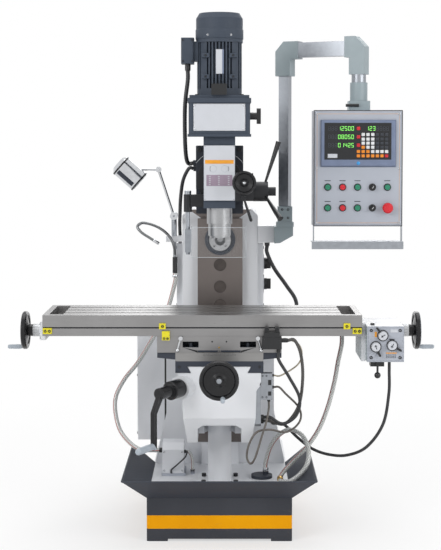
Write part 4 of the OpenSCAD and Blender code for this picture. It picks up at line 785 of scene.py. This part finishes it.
TURNS = {"+X": (90, "Y"), "-X": (-90, "Y"), "+Y": (-90, "X"), "-Y": (90, "X"), "+Z": (0, "X")}


def spread_copies(model, places, facing):
    """Copies of a model, each with its own mesh, turned to face a way and joined."""
    copies = []
    for place in places:
        copy = model.copy()
        copy.data = model.data.copy()
        bpy.context.scene.collection.objects.link(copy)
        copies.append(stand(copy, place, TURNS[facing]))
    bpy.data.objects.remove(model)
    return join(copies)


def screws(name, body, radius, facing, places, finish=black_steel):
    settle(spread_copies(cap_screw(radius, radius * 0.9), places, facing), name, finish, body)


def lathe(name, body, finish, facing, places, outline, steps):
    settle(spread_copies(turned(outline, steps), places, facing), name, finish, body)


def bars(name, body, finish, boxes, round_off=0.6):
    settle(join([bar(low, high, round_off) for low, high in boxes]), name, finish, body)


def grid(*values):
    """Every place with one of the x, y and z that are given, each a number or several."""
    return list(itertools.product(*(v if isinstance(v, tuple) else (v,) for v in values)))


def flats(depths, *sheets):
    """Boxes that face the front: sheets of (x, z, x, z) between two depths."""
    return [((x0, depths[0], z0), (x1, depths[1], z1)) for x0, z0, x1, z1 in sheets]


def washer(inner, outer, low, high):
    return [(inner, low), (outer, low), (outer, high), (inner, high), (inner, low)]


def box_mm(node):
    return [Vector(corner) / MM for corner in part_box(node)]


NUT = [(0, 0), (9, 0), (9.4, 0.6), (9.4, 2), (7, 2.6), (7, 6), (6, 7), (0, 7.4)]
print("helpers ready")

# %% [markdown]
# The base first. Folded sheet gets a rolled rim, so that nobody cuts a hand on the chip tray. The
# column has screwed covers at its sides and its back, the lower one at the back with vents.

# %% Tray rim and covers
RIM = [(-364, 29, 250), (-364, -250, 250), (-364, -560, 250), (-362, -566, 250), (-356, -568, 250),
       (0, -568, 250), (356, -568, 250), (362, -566, 250), (364, -560, 250), (364, -250, 250),
       (364, 29, 250)]
rim_path = [Vector(place) * MM for place in RIM]
rim = tube("tray_rim", rim_path, [3.2 * MM] * len(RIM), lengths(rim_path), 10)
settle(rim, "tray_rim", tray_paint, "base")

for name, way, x in (("right", "+X", 181), ("left", "-X", -181)):
    screws("side_cover_screws_" + name, "base", 6, way, grid(x, (84, 390), (830, 950, 1071)))
bars("rear_cover", "base", white_paint,
     [((-150, 446, 420), (150, 449, 800)), ((-120, 446, 860), (120, 449, 1130))], 1.2)
rear_screws = grid((-138, 138), 449, (434, 610, 786)) + grid((-108, 108), 449, (874, 1116))
screws("rear_cover_screws", "base", 6, "+Y", rear_screws)
vents = [(-90, z, 90, z + 6) for z in range(470, 600, 18)]
bars("rear_vents", "base", black_plastic, flats((448.6, 449.8), *vents), 0.5)

# %% [markdown]
# The electrical cabinet has a screwed cover on its outer side, with a row of vents low down, and a
# dark gasket where it meets the column. The pump's cover is held by four small screws.

# %% Cabinet and pump fittings
vents = [((-352.6, 190, z), (-351.6, 320, z + 6)) for z in range(290, 380, 16)]
bars("cabinet_vents", "base", black_plastic, vents, 0.4)
bars("cabinet_gasket", "base", black_plastic, [((-236, 124.8, 250), (-225.2, 127, 741))], 0.4)
screws("cabinet_screws", "base", 5, "-X", grid(-352, (150, 363), (273, 520, 766)))
screws("pump_screws", "base", 4, "-Y", grid((-225, -153), -150, (186, 262)), chrome)
screws("bracket_screws", "base", 5, "-Y", grid((256, 280), 1, (1200, 1234)))
lathe("hose_clips_upright", "base", chrome, "+Z", [(-188, 46, 950), (184, -176, 195)],
      [(9, 0), (11.5, 0), (12, 1), (12, 9), (11.5, 10), (9, 10)], 24)
lathe("hose_coupling", "base", brass, "+Y", [(238.5, -293, 184.5)],
      [(9, 0), (11, 0), (12, 2), (12, 36), (11, 38), (9, 38)], 24)
lathe("speed_plates", "base", plate_print, "+X", grid(181, 101, (1003, 917)),
      [(0, 0), (40, 0), (41, 0.6), (41, 1.6), (40, 2), (0, 2)], 40)

# %% [markdown]
# The coolant spout is a wound metal hose, which stays where it is bent. Its ribs come from rings
# that swell and shrink, as on the conduits, and it ends in a bright nozzle.

# %% Coolant spout
SPOUT = [(-188, 46, 1034), (-188, 46, 1046), (-190, 27, 1074), (-198, 22, 1102), (-212, 20, 1124),
         (-232, 19, 1144), (-260, 18, 1162), (-292, 17, 1174), (-323, 16, 1178), (-341, 8, 1163),
         (-325, 0, 1141), (-290, -4, 1118), (-252, -6, 1094)]
spout_path = smooth(SPOUT, 0.0024)
spout_radii = [(6.1 if i % 2 else 5.5) * MM for i in range(len(spout_path))]
spout = tube("coolant_spout", spout_path, spout_radii, lengths(spout_path))
settle(spout, "coolant_spout", spout_steel, "base")
nozzle = turned([(0, -26), (6.6, -26), (7, -24), (7, -4), (6, 0), (4, 1), (2.4, 1), (2.4, -8), (0, -8)], 20)
turn = (spout_path[-1] - spout_path[-4]).to_track_quat("Z", "Y").to_matrix().to_4x4()
nozzle.matrix_world = Matrix.Translation(spout_path[-1]) @ turn
settle(nozzle, "spout_nozzle", chrome, "base")
print("base pieces ready")

# %% [markdown]
# The knee, saddle and swivel block carry small fittings: screws in the gib jaws, a slot and a brass
# zero pin over the swivel scale, and the reader of the vertical scale on the right of the knee.

# %% Knee and saddle fittings
screws("gib_screws", "saddle", 5, "-Y", grid((-152, 152), -487, 667))
bars("swivel_scale", "swivel", navy_paint,
     flats((-495, -493.4), (-80, 725, -6, 731), (6, 725, 80, 731)), 0.5)
lathe("zero_pin", "swivel", brass, "-Y", [(-1, -494, 742)],
      [(0, 0), (3.4, 0), (3.4, 5), (2.4, 7), (0, 7)], 16)
lathe("swivel_dowels", "swivel", black_steel, "-Y", grid((-27, 27), -494, 764),
      [(0, 0), (3.2, 0), (3.2, 0.6), (2.4, 1), (0, 1)], 14)
lines = [(x - 0.4, 708, x + 0.4, 719 if x % 15 else 715) for x in range(-60, 61, 5)]
bars("swivel_lines", "saddle", black_steel, flats((-487.5, -486.8), *lines), 0.1)

bars("reader_plugs", "knee", black_plastic,
     flats((-477, -475), (184, 556, 196, 572), (184, 596, 196, 616)), 0.4)
screws("reader_screws", "knee", 3.5, "-Y", grid((163, 178), -476, (550, 631)))
lathe("cross_boss_ring", "knee", white_paint, "-Y", [(0, -485, 644)],
      [(24.2, 0), (28, 0), (30, 2), (30, 7), (28, 9), (24.2, 9)], 40)
lathe("cross_wheel_nut", "cross_wheel", alloy, "-Y", [(0, -656, 644)], NUT, 24)
for name, way, x in (("knee_side_screws", "+X", 157), ("knee_gib_screws", "-X", -157)):
    screws(name, "knee", 6, way, grid(x, (-400, -300, -200, -100), 628))
print("knee and saddle pieces ready")

# %% [markdown]
# The table is plain ground steel. What gives it scale are the stops in its groove, each with black
# screws, the screwed covers of the feed gearbox, and the rings and pointers of its three dials.

# %% Table fittings
GEARBOX_Y = -526
GEARBOX_PRINT = (GEARBOX_Y - 0.6, GEARBOX_Y)
stop_screws = grid((-653, -637, 509, 525), -504, 805) + grid((-213, 478), -504, 823)
screws("stop_screws", "table", 5.4, "-Y", stop_screws, black_plastic)
screws("saddle_stop_screws", "swivel", 4.6, "-Y", grid((-207, -194), -508, 778), black_plastic)
screws("switch_screws", "swivel", 3, "-Y", grid((167, 226), -538, (750, 778)))
lathe("switch_rollers", "swivel", black_steel, "-Y", grid((177, 216), -532, 818),
      [(0, 0), (7, 0), (8, 1), (8, 8), (7, 9), (0, 9)], 20)

screws("gearbox_screws", "table", 6, "-Y", grid((567, 675), GEARBOX_Y, (709, 811)), black_plastic)
DIALS = {"speed": (610, 792, 60), "mode": (584, 750, 160), "range": (645, 755, 30)}
lathe("dial_rings", "table", black_steel, "-Y", [(x, GEARBOX_Y, z) for x, z, _ in DIALS.values()],
      [(18.2, 0), (21, 0), (21, 3), (20, 4), (18.2, 4)], 36)
for lever, (x, z, angle) in DIALS.items():
    body = "feed_" + lever
    lathe("dial_cap_" + lever, body, plate_print, "-Y", [(x, -538.3, z)],
          [(0, 0), (15.4, 0), (16, 0.5), (16, 1), (15.6, 1.4), (0, 1.4)], 32)
    pointer = join([bar((-1.4, -0.3, -9), (1.4, 0.3, 9), 0.2), bar((-5, -0.3, -5), (5, 0.3, -2), 0.2)])
    settle(stand(pointer, (x, -539.9, z), (angle, "Y")), "dial_pointer_" + lever, dark_print, body)
bands = flats(GEARBOX_PRINT, (580, 786, 588, 806), (622, 724, 662, 728))
bars("gearbox_bands", "table", orange_print, bands, 0.15)
rows = [(622 + 8 * i, z, 628 + 8 * i, z + 2) for i in range(5) for z in (718, 713, 708)]
rows += [(634, 776, 654, 780), (586, 722, 600, 725)]
bars("gearbox_table", "table", dark_print, flats(GEARBOX_PRINT, *rows), 0.15)
bars("gearbox_badge", "table", plate_print, flats((GEARBOX_Y - 0.8, GEARBOX_Y), (638, 803, 666, 815)), 0.4)
for name, way, x in (("right", "+X", 772), ("left", "-X", -761)):
    lathe(name + "_wheel_nut", "wheel_" + name, alloy, way, [(x, *WHEEL_AXIS)], NUT, 24)
screws("end_plate_screws", "table", 6, "+X", grid(552, (-300, -262), (700, 820)))
screws("bracket_left_screws", "table", 6, "-X", grid(-684, (-402, -290), (764, 818)))
print("table pieces ready")

# %% [markdown]
# On the head are two screws, and two thin white arcs that paint the highlight on the rim of the
# round swivel flange. The front carries a chart on a printed plate, here with a plain grid and no words.

# %% Head fittings
screws("ram_plate_screws", "ram", 9, "-Y", grid((-78, 78), -294, 1483), black_plastic)
# Two thin white arcs: a painted highlight on the rim of the round swivel flange.
for name, angle in (("right", 58), ("left", 144)):
    arc = turned(washer(111.6, 113, 0, 0.4), 16, 22)
    settle(stand(arc, (0, -294, 1365), (90, "X"), (angle, "Z")), "flange_rim_highlight_" + name, white_plastic, "ram")

PLATE_Y = -440.6
PLATE_PRINT = (PLATE_Y - 0.4, PLATE_Y + 0.2)
bars("head_plate", "head", plate_print, flats((PLATE_Y, -439), (-58.5, 1292, 58.5, 1500)))
bars("head_plate_band", "head", orange_print, flats(PLATE_PRINT, (-54, 1431, 54, 1445.5)), 0.3)
lathe("head_plate_circles", "head", grip_plastic, "-Y", grid((-23, 20), PLATE_Y, 1412),
      washer(12.2, 13, 0, 0.3), 40)
for name, x, angle in (("right", 18, 31), ("left", -18, 211)):
    bow = turned(washer(17, 18.2, 0, 0.4), 10, 62)
    stand(bow, (x, PLATE_Y, 1412), (90, "X"), (angle, "Z"))
    settle(bow, "head_plate_bow_" + name, dark_print, "head")
bars("head_plate_table", "head", mauve_print, flats(PLATE_PRINT, (-49, 1347, 49, 1389)), 0.2)
rows = [(x, 1351 + 7.6 * i, x + 6, 1354 + 7.6 * i) for i in range(5) for x in (-39, -5, 32)]
rows = flats((PLATE_Y - 0.7, PLATE_Y - 0.3), *rows) + flats(PLATE_PRINT, (-7, 1391, 5, 1393))
bars("head_plate_numbers", "head", plate_print, rows, 0.1)
screws("head_plate_screws", "head", 2, "-Y", grid((-54.5, 54.5), PLATE_Y, (1296, 1496)), chrome)

edges = [(-97, 1555, 97, 1557), (-97, 1655, 97, 1657), (-97, 1557, -95, 1655), (95, 1557, 97, 1655)]
bars("belt_plate_rim", "head", chrome, flats((-453.8, -453), *edges), 0.3)
screws("belt_plate_screws", "head", 3, "-Y", grid((-90, 90), -453.2, (1563, 1649)), chrome)
screws("motor_bolts", "head", 8, "+Z", grid((-84, 84), (-430, -262), 1690))
screws("fan_screws", "head", 4, "-Y", grid((-44, 44), -426, 1917), chrome)
bars("motor_plate", "head", plate_print, flats((-433.4, -429), (-13, 1770, 11, 1862)), 0.8)
bars("motor_plate_edge", "head", grey_plastic, flats((-433, -429), (11, 1770, 17, 1862)))
screws("motor_pad_screws", "head", 4.5, "-Y", grid((-52, 52), -429.5, (1760, 1840)), black_plastic)
lathe("fan_lip", "head", slate_paint, "+Z", [(0, -346, 1905)],
      [(89.5, 0), (91.4, 0), (91.6, 0.4), (91.6, 35), (90.6, 37), (89.5, 37.6)], 64)
screws("terminal_screws", "head", 4, "-Y", grid((-139, -104), -391, (1820, 1900)))
lathe("fine_wheel_nut", "fine_wheel", chrome, "-Y", [(93, -510, 1361)],
      [(0, 0), (6, 0), (6, 3), (5, 4), (0, 4.2)], 6)
lathe("ram_oiler", "ram", brass, "+Z", [(0, -150, 1495)],
      [(0, 0), (13, 0), (13, 3), (6, 5), (6, 12), (0, 12)], 24)
screws("ram_clamp_bolts", "base", 10, "+X", grid(131, (140, 330), 1219))
print("head pieces ready")

# %% [markdown]
# The clear chip guard is hard to see but for its sawn edges, which catch the light, so each edge
# gets a thin pale bar. The lamp's drum has a black ring at each end, and a dark strip along it
# paints the reflection of the dark bracket in its chrome.

# %% Guard edges and lamp rings
bottom = box_mm("chip_guard")[0].z
top = bottom + 115
sawn = [(x, bottom, x + 1.4, top) for x in (-108, 100.6)]
sawn += [(-108, z, 102, z + 1.4) for z in (bottom, top - 1.4)]
sawn = flats((-432.3, -430.9), *sawn)
sawn += flats((-432, -350), *[(x, top - 1.2, x + 1.4, top) for x in (-108, 100.6)])
bars("guard_edges", "guard", moulded("sawn_edge", (204, 210, 216), 0.4), sawn, 0.3)

LAMP_MIDDLE = Vector((-378, 52, 1385))
LAMP_ANGLE = math.radians(131.6)
ahead = Vector((math.sin(LAMP_ANGLE), 0, math.cos(LAMP_ANGLE)))
across = Vector((0, -1, 0))
drum = Matrix((across, ahead.cross(across), ahead)).transposed().to_4x4()
for name, start in (("front", 52), ("rear", -46)):
    ring = turned([(44, 0), (47, 0), (47.6, 0.8), (47.6, 6), (47, 7), (44, 7), (44, 0)], 48)
    ring.matrix_world = Matrix.Translation((LAMP_MIDDLE + ahead * start) * MM) @ drum
    settle(ring, "lamp_ring_" + name, black_plastic, "lamp_head")
# A dark strip along the drum: a painted reflection of the dark bracket in the chrome.
strip = turned(washer(45.8, 46.8, -36, 46), 8, 26)
turn = Matrix.Rotation(math.radians(46), 4, "Z")
strip.matrix_world = Matrix.Translation(LAMP_MIDDLE * MM) @ drum @ turn
settle(strip, "lamp_reflection_band", navy_paint, "lamp_head")
print("guard and lamp pieces ready")

# %% [markdown]
# The readout is a dark face in a rounded frame. Its digits are built from seven bars each, as the
# real ones are, and its keys are small rounded blocks in rows.

# %% Control panel and readout
PANEL_Y = -202.07
PANEL_PRINT = (PANEL_Y - 2, PANEL_Y - 1.5)
FACE_Y = PANEL_Y - 4
FACE_PRINT = (FACE_Y - 10.2, FACE_Y - 9.6)
bars("panel_sheet", "panel", panel_paint, flats((PANEL_Y - 1.6, PANEL_Y), (377, 1185, 718, 1631)), 0.8)
edges = [(x, 1180, x + 3, 1636) for x in (371.6, 720.4)] + [(372, z, 723, z + 3) for z in (1178.6, 1635.4)]
bars("panel_seal", "panel", black_plastic, flats((PANEL_Y - 1.2, PANEL_Y + 6), *edges), 0.4)
edges = [(384, z, 711, z + 1) for z in (1192, 1623)] + [(x, 1192, x + 1, 1624) for x in (384, 710)]
bars("panel_line", "panel", orange_print, flats(PANEL_PRINT, *edges), 0.15)
sheet_screws = grid((384.5, 710.5), PANEL_Y - 1.6, (1192.5, 1408, 1623.5))
screws("panel_screws", "panel", 5, "-Y", sheet_screws, chrome)
bezel = bar((399, FACE_Y - 9, 1416), (695.5, FACE_Y + 1, 1599), 6, 4)
settle(bezel, "readout_frame", grey_plastic, "panel")
bars("readout_face", "panel", screen_plastic, flats((FACE_Y - 9.8, FACE_Y - 8), (413, 1443, 677, 1588)), 0.5)

SEGMENTS = {"a": (0, 10, 6, 11.4), "b": (5, 5.4, 6.4, 10.6), "c": (5, 0.6, 6.4, 5), "d": (0, -0.4, 6, 1),
            "e": (-0.4, 0.6, 1, 5), "f": (-0.4, 5.4, 1, 10.6), "g": (0.4, 4.6, 5.6, 5.9)}
DIGITS = {"0": "abcdef", "1": "bc", "2": "abged", "3": "abgcd", "4": "fgbc", "5": "afgcd", "8": "abcdefg"}
DIGIT_SIZE = 1.45
DIGIT_PITCH = 9 * DIGIT_SIZE


def digits(text, x, z):
    """Bars of seven-bar digits, with their left foot at x and z."""
    sheets = []
    for i, sign in enumerate(text):
        left = x + DIGIT_PITCH * i
        for part in DIGITS.get(sign, ""):
            x0, z0, x1, z1 = (value * DIGIT_SIZE for value in SEGMENTS[part])
            sheets.append((left + x0, z + z0, left + x1, z + z1))
    return flats(FACE_PRINT, *sheets)


READINGS = {1558: "   12500", 1525: "   08050", 1492: "   01425"}
shown = [box for z, text in READINGS.items() for box in digits(text, 428, z)] + digits("123", 578, 1558)
bars("readout_digits", "panel", green_light, shown, 0.12)
unlit = [box for z in READINGS for box in digits("888", 428, z)] + digits("8888", 618, 1558)
bars("readout_unlit", "panel", dark_print, unlit, 0.12)

COLUMNS = (547, 565.6, 584.4, 603.2, 621.6, 639.8, 657.8)
ROWS = (1542, 1524, 1508, 1492, 1475, 1458)
KEYS = {"white": white_plastic, "dark": dark_print, "orange": orange_plastic, "red": red_plastic}
keys = {kind: [] for kind in KEYS}
for (r, z), (c, x) in itertools.product(enumerate(ROWS), enumerate(COLUMNS)):
    if r < 4:
        kind = "orange" if (r, c) == (3, 1) else None if c == 0 else "white" if c < 4 else "dark"
    else:
        kind = "orange" if c < (3 if r == 4 else 6) else "white" if r == 4 else "red"
    if kind:
        keys[kind].append((x - 6.8, z - 6.2, x + 6.8, z + 6.2))
keys["red"] += [(540, z - 7, 554, z + 7) for z in (1566, 1533, 1500)]
for kind, sheets in keys.items():
    bars("readout_keys_" + kind, "panel", KEYS[kind], flats((FACE_Y - 12, FACE_Y - 9.4), *sheets), 1.6)
bars("readout_badge", "panel", plate_print, flats(FACE_PRINT, (426, 1450, 464, 1466)), 0.4)
lathe("readout_lamp", "panel", moulded("blue_lens", (60, 150, 215), 0.2), "-Y", [(547, FACE_Y - 8.8, 1429)],
      [(0, 0), (7, 0), (7, 1.4), (5, 2.4), (0, 3)], 24)
labels = [(x - 12, z + 24, x + 12, z + 27) for x in (427, 486, 545, 663) for z in (1334, 1252)]
bars("button_labels", "panel", dark_print, flats((PANEL_Y - 2.2, PANEL_Y - 1.5), *labels[:-1]), 0.2)
for node in ("selector_upper", "selector_lower"):
    low, high = box_mm(node)
    middle = ((low.x + high.x) / 2, low.y - 0.1, (low.z + high.z) / 2)
    line = stand(bar((-1.1, -0.3, 2), (1.1, 0.3, 11.5), 0.2), middle, (35, "Y"))
    settle(line, node + "_line", white_plastic, node)
print("panel pieces ready")

# %% [markdown]
# The studio is plain: a pale floor that keeps the machine's shadow, four large soft lamps, and a
# world that looks white to the camera and in reflections but lights the machine gently.


# %% Floor, lamps and world
only()
bpy.ops.mesh.primitive_plane_add(size=16)
floor = bpy.context.object
floor.name = "studio_floor"
ground = Finish("floor_paper", (246, 246, 246), 0.9)
seen = ground.node("LightPath", out="Is Camera Ray") + ground.node("LightPath", out="Is Glossy Ray")
seen = seen + ground.node("LightPath", out="Is Transmission Ray")
away = ground.node("VectorMath", {0: ground.at}, out="Value", operation="LENGTH")
paper = ground.between(away, 0.5, 2.4) * 0.45 + 0.55
white = ground.node("Emission", {"Color": (1, 1, 1, 1), "Strength": 1.0})
share = ground.node("Math", {0: seen, 1: 1}, operation="MINIMUM") * paper
mixed = ground.node("MixShader", {0: share, 1: Wire(ground, ground.shader.outputs[0]), 2: white})
ground.tree.links.new(mixed.socket, ground.tree.nodes["Material Output"].inputs["Surface"])
floor.data.materials.append(ground.material)


def soft_lamp(name, place, aim, size, power):
    data = bpy.data.lights.new(name, "AREA")
    data.shape = "RECTANGLE"
    data.size, data.size_y = size
    data.energy = power
    lamp = bpy.data.objects.new(name, data)
    lamp.location = place
    lamp.rotation_euler = (Vector(aim) - Vector(place)).to_track_quat("-Z", "Y").to_euler()
    bpy.context.scene.collection.objects.link(lamp)


soft_lamp("left_softbox", (-3.2, -3.4, 3.0), (0, -0.2, 1.0), (2.4, 2.4), 92)
soft_lamp("right_softbox", (3.4, -3.0, 2.4), (0, -0.2, 0.9), (2.2, 2.6), 66)
soft_lamp("top_softbox", (0.0, 0.4, 4.4), (0, -0.1, 0.8), (3.0, 3.0), 62)
soft_lamp("rear_softbox", (0.6, 4.0, 3.0), (0, 0.2, 1.0), (3.0, 2.0), 50)

world = bpy.data.worlds.new("studio")
bpy.context.scene.world = world
world.use_nodes = True
tree = world.node_tree
backdrop = tree.nodes["Background"]
backdrop.inputs["Color"].default_value = (1, 1, 1, 1)
path = tree.nodes.new("ShaderNodeLightPath")
level = 0.46
total = path.outputs["Is Camera Ray"]
for name in ("Is Glossy Ray", "Is Transmission Ray"):
    either = tree.nodes.new("ShaderNodeMath")
    either.operation = "MAXIMUM"
    tree.links.new(total, either.inputs[0])
    tree.links.new(path.outputs[name], either.inputs[1])
    total = either.outputs[0]
strength = tree.nodes.new("ShaderNodeMapRange")
tree.links.new(total, strength.inputs[0])
strength.inputs[3].default_value = level
strength.inputs[4].default_value = 1.0
tree.links.new(strength.outputs[0], backdrop.inputs["Strength"])
print("studio ready")
